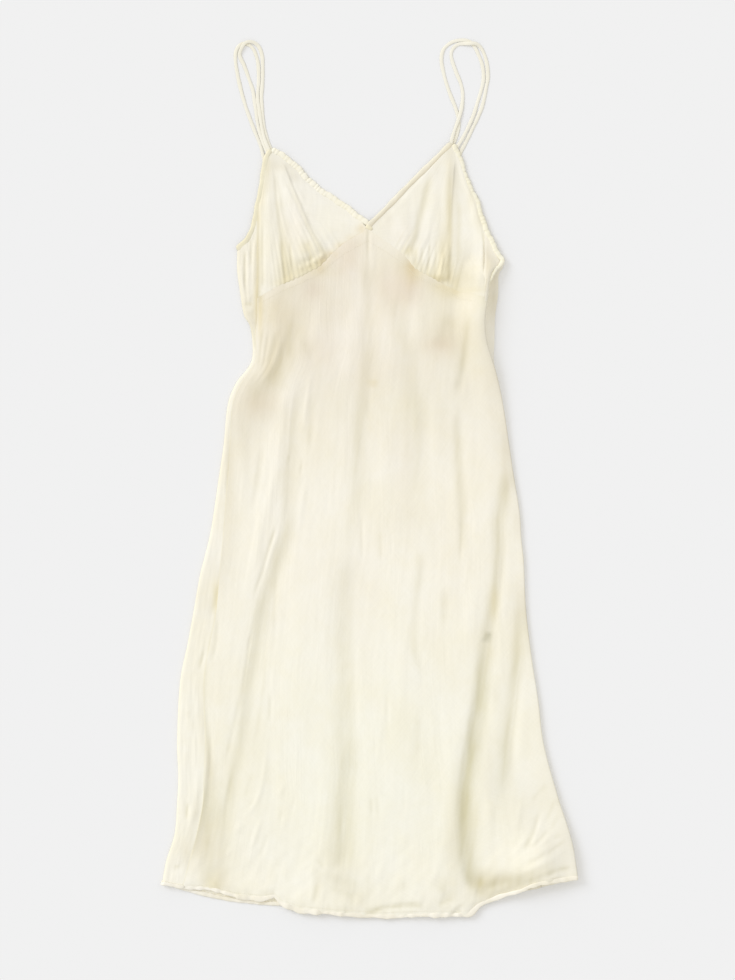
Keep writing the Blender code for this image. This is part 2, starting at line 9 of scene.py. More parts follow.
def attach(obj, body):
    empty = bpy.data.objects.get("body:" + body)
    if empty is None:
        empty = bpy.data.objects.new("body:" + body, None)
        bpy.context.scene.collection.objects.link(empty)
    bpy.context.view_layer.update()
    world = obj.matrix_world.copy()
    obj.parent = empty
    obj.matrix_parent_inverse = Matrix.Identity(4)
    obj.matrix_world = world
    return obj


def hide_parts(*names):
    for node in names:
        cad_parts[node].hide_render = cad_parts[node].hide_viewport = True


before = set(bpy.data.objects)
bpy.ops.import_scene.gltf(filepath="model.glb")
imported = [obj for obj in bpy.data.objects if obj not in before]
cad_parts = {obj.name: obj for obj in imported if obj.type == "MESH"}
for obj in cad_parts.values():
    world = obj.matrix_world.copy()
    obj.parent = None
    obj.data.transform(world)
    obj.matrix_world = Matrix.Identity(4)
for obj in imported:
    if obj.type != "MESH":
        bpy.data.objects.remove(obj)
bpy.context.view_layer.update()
bpy.ops.object.select_all(action="DESELECT")
print("frame loaded,", len(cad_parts), "solids")

# All lengths in the tables are in mm. across: from the middle of the laid dress, to the right.
# down: from the top of the straps towards the hem. height: from the surface that the dress lies on.
mm = 0.001
dress = {
    "length": 1250.0,
    "cloth": 0.8,        # thickness of the silk as it shows
    "gap": 0.3,          # between two pieces at a seam
    "topOfSides": 304.0,
    "empire": 369.0,     # down to the ends of the seam under the cups
    "sideHem": 1196.0,
    # how far into the panels the seam, the flaps and the hem bend their rows
    "seamReach": 200.0, "flapReach": 70.0, "hemReach": 296.0,
}

# Folds and marks are placed on squares of this size, counted from a corner that lies so many squares left
# of the dress's middle and above the top of its straps
square = 1.42
squaresToMiddle = 371
squaresToTop = 38

camera = {"lens": 100.0, "across": -5.0, "down": 641.8, "view": 1391.6}
light = {
    "sun": 1.75, "sunSoftness": 28.0, "fill": 0.81, "toRight": 1.35, "toHem": 0.95,
    "throughSilk": 0.46, "warmed": (1.06, 1.0, 0.85),
}


def eased(share):
    share = np.clip(share, 0.0, 1.0)
    return share * share * (3.0 - 2.0 * share)


def blend(first, second, share):
    return first + (second - first) * share


def through(knots, values, at):
    # a smooth curve through the values at the knots
    knots, values = np.asarray(knots, float), np.asarray(values, float)
    slopes = np.empty_like(values)
    slopes[1:-1] = (values[2:] - values[:-2]) / (knots[2:] - knots[:-2])
    slopes[0] = (values[1] - values[0]) / (knots[1] - knots[0])
    slopes[-1] = (values[-1] - values[-2]) / (knots[-1] - knots[-2])
    at = np.clip(at, knots[0], knots[-1])
    i = np.clip(np.searchsorted(knots, at, side="right") - 1, 0, len(knots) - 2)
    step = knots[i + 1] - knots[i]
    t = (at - knots[i]) / step
    return (
        values[i] * (2 * t**3 - 3 * t**2 + 1) + values[i + 1] * (3 * t**2 - 2 * t**3)
        + step * (slopes[i] * (t**3 - 2 * t**2 + t) + slopes[i + 1] * (t**3 - t**2))
    )


def alongRoute(points):
    # how far along the route each of its points lies
    return np.concatenate([[0.0], np.cumsum(np.linalg.norm(np.diff(points, axis=0), axis=1))])


def smoothRoute(points, count):
    # evenly spread points along a smooth curve through the given ones
    points = np.asarray(points, float)
    lengths = alongRoute(points)
    stops = np.linspace(0.0, lengths[-1], count)
    return np.stack([through(lengths, points[:, k], stops) for k in range(points.shape[1])], axis=1)


def routeLength(points):
    return float(alongRoute(np.asarray(points, float))[-1])


def onDress(points):
    # squares to (across, down)
    points = np.asarray(points, float)
    return (points - [squaresToMiddle, squaresToTop]) * square


def placed(points):
    # (across, down, height) to the frame's metres
    points = np.asarray(points, float)
    return np.stack([points[..., 0], dress["length"] / 2 - points[..., 1], points[..., 2]], axis=-1) * mm


# Outline of the laid dress, close to that of the solids. Side edges: down, outline, seam, height of the
# rounded edge
leftSide = np.array([
    (304, -190, -160, 4.5), (332, -190, -160, 4.5), (361, -186, -160, 4.5), (395, -180, -160, 4.5),
    (406, -173, -161, 4.5), (418, -170, -162, 4.6), (443, -168, -161, 4.8), (460, -170, -162, 5.0),
    (474, -179, -170, 5.0), (488, -190.5, -181, 5.0), (518, -203, -194, 5.0), (577, -209.3, -198, 5.0),
    (633, -217.5, -202, 5.0), (699, -227.5, -207, 5.0), (741, -237.5, -211, 5.1),
    (760, -242.5, -213, 5.2), (821, -253.3, -219, 5.4), (859, -260.3, -227, 5.4), (912, -271, -235, 5.4),
    (1001, -275.5, -233, 5.4), (1048, -273.8, -235, 5.4), (1083, -275.6, -237, 5.4),
    (1125, -279, -246, 5.2), (1164, -291, -257, 5.0), (1196, -297, -266, 4.6),
], float)
rightSide = np.array([
    (304, 190, 165, 4.6), (318, 186, 165, 7.0), (330, 177, 165, 13.5), (342, 170.5, 163.5, 16.5),
    (369, 166, 159, 18.0), (400, 162, 155, 18.0), (430, 164, 157, 16.0), (470, 176, 169, 12.5),
    (514, 186.2, 179.2, 8.5), (575, 195.6, 188.6, 5.5), (615, 201.5, 194.5, 5.2),
    (673, 210.7, 203.7, 4.8), (713, 213.5, 206.5, 4.8), (740, 216.5, 209.5, 4.8),
    (811, 219.8, 212.8, 4.8), (879, 227.8, 220.8, 5.0), (940, 237.3, 230.3, 5.5), (1001, 245, 238, 6.0),
    (1082, 266.8, 259.8, 7.4), (1112, 276.7, 269.7, 8.0), (1139, 284.6, 277.6, 8.3),
    (1157, 288.2, 281.2, 8.5), (1196, 293.5, 286.5, 8.0),
], float)
empireEdge = np.array([
    (-160, 369), (-124, 348), (-101, 337), (-75, 324), (-61, 311), (-38, 291), (-5, 271.5),
    (20, 288), (48, 308), (63, 326), (98, 345), (126, 361), (163, 369),
], float)
frontHem = np.array([
    (-297, 1202), (-266, 1208), (-250, 1209.5), (-234, 1209), (-220, 1212), (-205, 1217), (-193, 1220.5),
    (-155, 1224), (-137, 1221), (-128, 1231), (-101, 1240), (-37, 1246), (20, 1249.5), (84, 1247),
    (138, 1247), (152, 1234), (183, 1220.5), (200, 1216), (212, 1212.5), (226, 1205.5), (240, 1201),
    (254, 1198), (270, 1196), (297, 1192.5),
], float)
backHem = np.array([
    (-297, 1201), (-285, 1203.5), (-243, 1216), (-200, 1227), (-143, 1231), (-100, 1232), (0, 1238),
    (120, 1239), (200, 1212), (226, 1208), (240, 1206), (254, 1203.5), (270, 1199.5), (297, 1189),
], float)
leftFlapTop = np.array([(-190, 302.5), (-180, 291), (-172, 281), (-160, 255)], float)
rightFlapTop = np.array([(159.5, 262), (165.8, 277), (170.8, 287), (179.6, 306), (191, 323)], float)


def sideAt(side, down):
    return tuple(through(side[:, 0], side[:, k], down) for k in (1, 2, 3))


def edgeAt(edge, across):
    return np.interp(across, edge[:, 0], edge[:, 1])


def nearness(down, edge, reach):
    return np.maximum(1.0 - np.abs(down - edge) / reach, 0.0) ** 2


def levelsOf(rows):
    # places of the rows from the hem up: start, end and count of each stretch
    stretches = [np.linspace(start, end, count, endpoint=False) for start, end, count in rows]
    return np.concatenate([*stretches, [dress["sideHem"]]])[::-1]


def heldAbove(lowest, height, firmness):
    # the height, eased so that it doesn't fall below the lowest
    return lowest + np.log1p(np.exp(firmness * (height - lowest))) / firmness


def nearestOn(path, across, down):
    # distance to a path, less than 0 on the side that the light comes from, and the share of its length
    lengths = alongRoute(path)
    best = np.full(across.shape, np.inf)
    far = np.zeros(across.shape, bool)
    share = np.zeros(across.shape)
    for (ax, ay), (bx, by), start, end in zip(path, path[1:], lengths, lengths[1:]):
        dx, dy = bx - ax, by - ay
        t = np.clip(((across - ax) * dx + (down - ay) * dy) / (dx * dx + dy * dy), 0.0, 1.0)
        distance = np.hypot(across - ax - t * dx, down - ay - t * dy)
        nearer = distance < best
        best = np.where(nearer, distance, best)
        far = np.where(nearer, (across - ax - t * dx) + 0.7 * (down - ay - t * dy) > 0, far)
        share = np.where(nearer, blend(start, end, t) / lengths[-1], share)
    return np.where(far, best, -best), share


foldShape = {
    "seed": 11, "drawnTo": 2.8,                       # widths from its path that a fold is worked out to
    "ridgeBeyond": 0.4, "troughBeyond": 0.65,         # how far past its path the fold lies, in near widths
    # painted shade along each trough and painted highlight along each ridge: how far past the path, how wide,
    # how strong, and the most
    "toneBeyond": 0.15, "toneNear": 0.8, "toneFar": 1.15,
    "full": 4.5, "toneCurve": 0.75, "ridgeHighlight": 0.4, "deepest": 1.15,
    "streaks": 6, "streakedHeight": 1.4, "streakedWidth": 5, "streakHeight": 0.3, "streakShade": 0.14,
    "usualEnds": (0.3, 0.3),
}


def bellOf(offset, nearWidth, farWidth):
    # 1 in the middle and a quarter at the width on each side
    return 4.0 ** -((offset / (np.where(offset < 0, nearWidth, farWidth) * square)) ** 2)


def streaksOf(dice, nearWidth, height):
    # fine pleats that run along the larger folds: place, width, middle, length, strength, drift
    if abs(height) <= foldShape["streakedHeight"] or nearWidth <= foldShape["streakedWidth"]:
        return []
    ranges = ((-0.9, 1.5), (0.9, 1.7), (0.1, 0.9), (0.1, 0.28), (-1.0, 1.0), (-2.0, 2.0))
    return [[dice.uniform(low, high) for low, high in ranges] for _ in range(foldShape["streaks"])]


def reliefOf(folds, across, down):
    # folds: path, widths on its near and its far side as the light sees it, height, shares to come and go in,
    # where they aren't the usual ones. Also gives the painted shade, about 0 to 1, darkest deep in troughs;
    # below 0 it is painted highlight along ridges and fine pleats
    relief = np.zeros(across.shape)
    paintedShade = np.zeros(across.shape)
    dice = random.Random(foldShape["seed"])
    for fold in folds:
        path, nearWidth, farWidth, height, comes, goes = (*fold, *foldShape["usualEnds"])[:6]
        line = smoothRoute(onDress(path), 4 * len(path)) if len(path) > 2 else onDress(path)
        reach = foldShape["drawnTo"] * max(nearWidth, farWidth) * square
        near = (
            (across > line[:, 0].min() - reach) & (across < line[:, 0].max() + reach)
            & (down > line[:, 1].min() - reach) & (down < line[:, 1].max() + reach)
        )
        streaks = streaksOf(dice, nearWidth, height)
        if not near.any():
            continue
        offset, share = nearestOn(line, across[near], down[near])
        fade = np.ones(offset.shape)
        if comes:
            fade = fade * eased(share / comes)
        if goes:
            fade = fade * eased((1.0 - share) / goes)
        # the wall that turns from the light lies on the path, so the fold itself is a little beyond it
        beyond = foldShape["troughBeyond" if height < 0 else "ridgeBeyond"] * nearWidth * square
        folded = height * bellOf(offset - beyond, nearWidth, farWidth)
        # painted shade in a bell beside a trough's path, or painted highlight beside a ridge's
        bell = bellOf(
            offset - foldShape["toneBeyond"] * nearWidth * square,
            foldShape["toneNear"] * nearWidth, foldShape["toneFar"] * farWidth,
        )
        shadeTone = bell * (abs(height) / foldShape["full"]) ** foldShape["toneCurve"]
        shadeDepth = shadeTone if height < 0 else -foldShape["ridgeHighlight"] * shadeTone
        # fine pleats raise or sink the cloth and carry painted highlight where they rise and painted shade
        # where they sink
        for place, thin, middle, length, strength, drift in streaks:
            aside = offset - (place * nearWidth + drift * (share - middle)) * square
            streak = strength * np.exp(-(((share - middle) / length) ** 2)) * bellOf(aside, thin, thin)
            folded = folded + foldShape["streakHeight"] * streak
            shadeDepth = shadeDepth - foldShape["streakShade"] * streak
        relief[near] += folded * fade
        paintedShade[near] += shadeDepth * fade
    return relief, np.clip(paintedShade, 0.0, foldShape["deepest"])


def roughness(across, down, acrossSize, downSize, seed):
    # smooth unevenness from -1 to 1, longer down the dress than across it
    flat = zip((across / acrossSize).ravel(), (down / downSize).ravel())
    return np.array([noise.noise((x, y, seed)) for x, y in flat]).reshape(across.shape)


frontFolds = [
    # centre of the bodice
    (((367, 229), (367, 246), (367, 264)), 1.9, 2.1, -0.8, 0, 0.4),
    (((371, 234), (371.5, 262), (372, 290)), 2.9, 3.1, 0.5, 0.1, 0.5),
    (((365, 250), (366, 290), (365.5, 330), (365.5, 361), (361.5, 392), (356, 430), (354, 484),
      (350, 530), (346, 575)), 10, 12, -1.2, 0.1),
    (((353, 296), (349, 330), (345, 366), (339, 402)), 8, 8, 1.1, 0.3, 0.4),
    (((367, 398), (367, 420)), 3.6, 3.2, -0.5, 0.3, 0.4),
    (((333, 368), (336, 375)), 2.4, 2.6, 0.5),
    # right of the centre
    (((389, 284), (394, 305), (399, 328), (405, 356), (410, 390), (414, 420), (414.5, 443), (411, 489),
      (408, 530), (407, 552)), 14, 12, -0.6, 0.12),
    (((413, 296), (414, 325), (411, 356)), 9, 9, 1.0, 0.3, 0.35),
    (((449, 308), (442, 328), (434, 352)), 8, 13, -0.9, 0.35, 0.35),
    (((467, 310), (465, 336), (462, 359), (458, 382), (455.5, 394)), 5.5, 4.5, -1.2, 0.25, 0.12),
    (((456, 400), (455.7, 440), (457, 470), (460, 500), (461, 562)), 6, 6, -1.0, 0.2, 0.25),
    (((476, 330), (480, 380), (484, 420)), 8, 8, 0.7, 0.3, 0.4),
    (((431, 388), (434, 430), (436, 480)), 9, 9, 0.7, 0.3, 0.4),
    (((388, 400), (384, 450), (380, 520)), 9, 9, 0.6, 0.3, 0.4),
    (((501, 405), (504, 432)), 2.2, 2.1, 0.5),
    (((461, 508), (460, 540), (459.4, 566)), 2, 2.2, -0.5, 0.3, 0.2),
    (((360.5, 512), (361.3, 562)), 2, 2.2, -0.5),
    (((379.6, 528), (380, 564)), 1.9, 2.1, -0.4),
    # left waist
    (((304, 296), (294, 314), (286, 334), (280, 352), (274, 368), (264, 384), (252, 396), (238, 406)),
      13, 15, -2.3, 0.5),
    (((293, 316), (286, 336), (281, 356), (275, 374), (270, 390)), 4.4, 5.4, -0.6, 0.5),
    (((299, 322), (292, 342), (287, 362)), 3.0, 3.4, -0.3),
    (((284, 330), (277, 350), (268, 372), (256, 384)), 3.4, 3.0, 0.7),
    (((276, 330), (271, 350), (264, 368)), 3.0, 3.4, -0.5),
    (((263, 326), (260, 345), (257, 374)), 2, 2, -0.7, 0.25, 0.25),
    (((268, 330), (265, 350), (261, 374)), 2, 2, -0.6, 0.25, 0.25),
    (((259, 300), (256, 330), (252, 356)), 2.6, 2.6, 0.5),
    (((300, 338), (306, 350), (313, 364)), 5, 7, -0.5, 0.35, 0.35),
    (((318, 300), (314, 330), (308, 350)), 7, 7, 0.7),
    # left ridge and the troughs beside it
    (((286, 380), (283, 395), (279, 430), (275, 465), (268, 494), (260, 522), (250, 573), (243, 612)),
      7, 7, 1.5, 0.12),
    (((303, 370), (298, 388), (293.5, 410), (290, 453), (285.6, 491), (282.5, 530), (276, 562)), 6, 10,
      -0.8, 0.2, 0.2),
    (((292, 498), (289, 524), (280.5, 548), (271.8, 572), (263.4, 596), (258, 620), (253.8, 643),
      (249.6, 667), (246, 691), (242.5, 715)), 9, 9, -2.0, 0.3, 0.2),
    (((249, 680), (243.5, 715), (238.5, 740), (234, 765), (229, 790), (224.5, 815), (221.5, 845),
      (221, 880)), 8, 8, -1.05, 0.2, 0.25),
    (((232, 768), (226, 800), (222, 830)), 2.4, 2.6, -0.6, 0.25),
    (((240, 690), (232, 730), (222, 770)), 2.4, 2.8, -0.6, 0.25),
    (((266, 640), (262, 690), (256, 730), (250, 760)), 2.6, 3.0, -0.3, 0.25),
    (((275.4, 525.5), (266.6, 552.6), (261.8, 571.7), (257, 583), (251.5, 602)), 2.3, 2, -1, 0.12),
    (((279, 527), (270, 553), (264, 574)), 2, 2.5, 0.6, 0.15),
    (((276, 570), (273.8, 604), (273, 637)), 2.6, 2.6, -0.5, 0.25, 0.25),
    (((250, 632), (246, 653)), 2, 2, -0.6),
    (((272.5, 663), (270.5, 700)), 2.6, 2.9, 0.5),
    (((269.8, 690), (268, 725)), 2.6, 2.6, -0.5),
    (((310.6, 367), (306, 400), (301.4, 432)), 2.9, 2.9, 0.7, 0.25),
    (((312, 392), (309, 425), (308, 452)), 3.6, 4.4, -0.6, 0.25),
    (((289, 454), (287, 464)), 1.9, 2, -0.5),
    (((301.5, 462), (299.5, 473)), 1.9, 2, -0.7),
    (((304, 478), (300, 505), (296, 540)), 4, 4, 0.8, 0.25, 0.4),
    (((262, 440), (256, 480), (250, 515)), 3.6, 3.9, -0.6),
    (((238, 420), (240, 470), (238, 520)), 6, 6, 0.7),
    # left side of the skirt
    (((204, 652), (201, 680), (201, 704), (205, 732), (207.5, 758), (205.5, 780), (202, 802),
      (195, 826), (187, 850)), 3.0, 4.5, -1.7, 0.12, 0.2),
    (((205, 772), (202, 800), (196, 824), (190, 848), (188, 866)), 5, 15, -1.9),
    (((214, 792), (211, 812), (207, 835), (204, 862), (206, 888)), 8, 12, -1.2, 0.3, 0.1),
    (((200, 700), (203.5, 735), (205.5, 768), (200, 795), (191, 818), (185, 845), (177, 868)), 2.6,
      2.4, 1.0, 0.15),
    (((214, 600), (215, 640), (209, 664)), 3, 3, -0.7, 0.3, 0.2),
    (((300, 570), (290, 650), (284, 750), (290, 850)), 20, 20, 1.4, 0.25, 0.2),
    (((266, 745), (260, 789), (250, 810), (244, 818)), 3, 2.9, 0.8, 0.25, 0.2),
    (((284.5, 780), (276.5, 797)), 3.6, 3.4, 0.8),
    (((241, 820), (235, 833)), 4.8, 4.5, 0.9),
    (((230.5, 847), (225.5, 857)), 2.8, 2.6, 0.6),
    (((261, 816), (249, 851)), 3.1, 2.9, 0.7),
    (((285, 816), (282, 831)), 2.8, 2.6, 0.5),
    (((255, 798), (248.5, 805)), 2.2, 2.1, -0.3),
    (((283, 808), (278, 822)), 2.3, 2.2, -0.3),
    (((252, 770), (243, 800)), 2.6, 2.6, -0.3),
    (((296, 790), (289, 815)), 2.6, 2.6, -0.4),
    (((268, 830), (258, 858)), 2.6, 2.6, -0.4),
    (((300, 860), (309, 872), (320, 880)), 6, 6.5, 0.7),
    (((275, 868), (290, 874)), 4.2, 4.5, 0.5),
    # centre left trough
    (((347, 545), (343, 575), (340, 600), (338, 640), (340, 664), (341.5, 700), (342.5, 740),
      (343, 762)), 15, 13, -0.9, 0.15, 0.15),
    (((344, 730), (342.5, 765), (339.5, 802), (338, 829), (338, 855), (341, 876)), 13, 14, -1.9, 0.25,
      0.15),
    (((322, 872), (340, 879), (364, 884)), 6, 9, -0.5),
    (((330, 886), (345, 892), (362, 893)), 3, 4, -0.4),
    (((334, 866), (344, 872), (352, 876)), 3, 3, 0.7),
    (((365, 226.5), (356, 233), (347, 240)), 1.5, 1.6, 0.8, 0.1, 0.2),
    (((315, 857), (325, 870)), 2.6, 2.6, -0.6),
    (((317, 880), (312, 904)), 2.9, 2.9, -0.7, 0.3, 0.2),
    (((324, 884), (320, 902)), 2.6, 2.9, 0.6, 0.3, 0.2),
    (((356, 600), (357, 680), (357, 760)), 7, 7, 0.5),
    # middle of the skirt
    (((414.7, 540), (419.5, 568), (414.7, 592), (413, 616), (411.5, 647), (419.5, 671), (421, 704)), 6,
      6, -0.6, 0.2),
    (((443.4, 584), (443, 628)), 5, 5, -0.5),
    (((386, 684), (386, 746)), 2.6, 2.6, -0.4),
    (((416, 708), (416, 762)), 5.4, 5.2, -0.5),
    (((376, 792), (377, 816)), 2.2, 2.3, -0.4, 0.3, 0.2),
    (((370, 796), (371, 815)), 1.9, 2.1, -0.4, 0.3, 0.2),
    (((392, 560), (392, 700), (396, 850)), 24, 24, 1.0, 0.3, 0.2),
    (((403, 770), (403, 820)), 2.4, 2.6, -0.4),
    (((404, 610), (400, 660), (398, 720)), 6, 6, 0.5, 0.3, 0.4),
    (((478, 572), (468, 612), (462, 655)), 9, 8, 0.9),
    # great fold on the right
    (((506, 466), (502, 489), (497, 515), (497, 544), (495.5, 576), (491.5, 600), (486.5, 624),
      (481, 655), (475.5, 687), (471.5, 715)), 8, 8, -2.2, 0.1, 0.25),
    (((488, 634), (480.2, 680), (473.2, 719), (467.5, 751), (464.2, 769), (461.5, 799), (461, 831),
      (463, 862), (468, 879), (479, 892)), 8.5, 14, -4.4, 0.3, 0.04),
    (((464, 690), (452, 750), (445, 800), (446, 860)), 14, 9, 1.2, 0.25, 0.2),
    (((500, 630), (492, 690), (487, 740), (485, 790), (486, 850)), 6, 8, 0.6, 0.25, 0.25),
    (((512, 478), (509, 506)), 5, 5, 0.9, 0.25, 0.4),
    (((509, 530), (508, 580), (502, 625)), 5, 6, 0.9, 0.2),
    (((485, 633), (489, 640)), 2.9, 3.1, -1, 0.2, 0.2),
    (((476, 882), (488, 884), (499, 881), (523, 876), (539, 869), (550, 863), (566, 858)), 10, 10,
      -2.2, 0.05, 0.6),
    (((525, 592), (520, 616), (517, 647), (512, 679), (509, 711), (504, 743), (502.4, 769),
      (499.4, 799), (498, 818)), 9, 7, -2.1, 0.12, 0.25),
    (((530, 660), (524, 700), (520, 740), (518, 780)), 6, 7, 0.8, 0.25),
    (((490, 797), (486, 826)), 5, 5, 0.7),
    # crumpled corner at the right of the hem
    (((538, 810), (533, 831), (521, 852)), 3.6, 3.4, -1.0, 0.25, 0.25),
    (((548, 826), (540, 838), (528, 848)), 2.2, 2.2, -0.8),
    (((560, 822), (549, 836), (538, 845)), 2.2, 2.2, 0.9),
    (((567, 838), (556, 845), (543, 856)), 2.2, 2.2, -0.9),
    (((570, 846), (560, 853), (546, 861)), 2.0, 2.0, 0.9),
    (((555, 796), (549, 812), (544, 822)), 2.4, 2.4, -0.6),
    (((527, 832), (519, 846), (508, 858)), 2.6, 2.6, 0.7),
    (((544, 808), (537, 836)), 3, 3, 0.8),
    (((548, 781), (540, 790), (530, 801)), 2.6, 2.6, -0.6),
    (((519, 871), (534, 865), (550, 857)), 3, 3, 0.8, 0.2, 0.25),
    (((515, 884), (532, 878), (547, 871), (567, 863)), 3.1, 3, -0.5, 0.2, 0.2),
    (((500, 899), (523, 890), (545, 880), (564, 870)), 3, 3, 1.2, 0.15, 0.15),
    (((552, 838), (561, 832)), 2.8, 2.7, -0.6),
    (((540, 850), (552, 843), (562, 840)), 2.8, 2.7, 0.7, 0.25, 0.25),
    (((508, 862), (498, 850)), 3.6, 3.9, 0.5),
    (((556, 868), (572, 866)), 2.4, 2.6, -0.6, 0.25, 0.25),
    (((558, 812), (550, 830)), 2.6, 2.6, -0.5),
    (((519, 800), (514, 830)), 4.8, 4.5, 0.7),
    (((446, 913), (458, 905), (470, 900)), 2.4, 2.6, 1.1, 0.2),
    (((452, 910), (466, 901)), 2.0, 2.4, -1.2, 0.2),
    (((436, 905), (448, 899), (456, 898)), 2.4, 2.8, -0.9),
    (((530, 848), (536, 830), (541, 812)), 2.2, 2.4, 0.9),
    (((524, 862), (538, 856), (548, 848)), 2.4, 2.6, -0.8),
    (((556, 850), (566, 846)), 2.2, 2.4, 0.8),
    (((545, 874), (560, 868), (573, 864)), 2.4, 2.6, -1.0, 0.2),
    (((486, 892), (500, 888), (512, 884)), 2.4, 2.6, 1.0, 0.2),
    # above the hem in the middle
    (((366, 912), (382, 907), (396, 905), (416.5, 904), (425, 910)), 3, 2.9, -2.0, 0.2, 0.2),
    (((372, 914), (395, 910), (420, 909)), 2.4, 2.6, 0.5, 0.2, 0.2),
    (((443, 917), (452, 912)), 2.4, 2.3, 1.19, 0.2),
    (((455, 917), (468, 910)), 2.4, 2.3, 1.19, 0.2),
    (((449, 917), (462, 910)), 2.2, 2.3, -1.19, 0.2),
    (((350, 892), (352, 906)), 2.9, 3.1, -0.5),
    (((402, 882), (406, 892)), 2.9, 3.1, -0.4),
    (((430, 880), (447, 893), (460, 900)), 7.2, 7.8, -0.7),
]

# Soft marks multiply the silk's colour by these. The darkening grey-beige, warm and brown ones are mostly
# painted shade: in troughs, under gathers, along seams and bindings and beside raised edges; one small warm
# mark with a pinkish one on it, and the dark grey marks, are stains. The lightening one is painted highlight
# on ridges and on single layers of silk. The pinkish ones darken it a little, the faint others shift its hue.
tints = {
    "shade": (0.90, 0.885, 0.845),
    "rose": (0.94, 0.895, 0.875),
    "warmShadeAndStain": (0.93, 0.895, 0.77),
    "highlight": (1.03, 1.035, 1.05),
    "grey": (0.72, 0.73, 0.70),
    "brownShade": (0.90, 0.83, 0.70),
    "lemon": (0.98, 1.0, 0.985),
    "blush": (1.0, 0.985, 0.995),
    "sage": (0.975, 0.985, 0.93),
    "cool": (0.95, 0.955, 0.975),
}
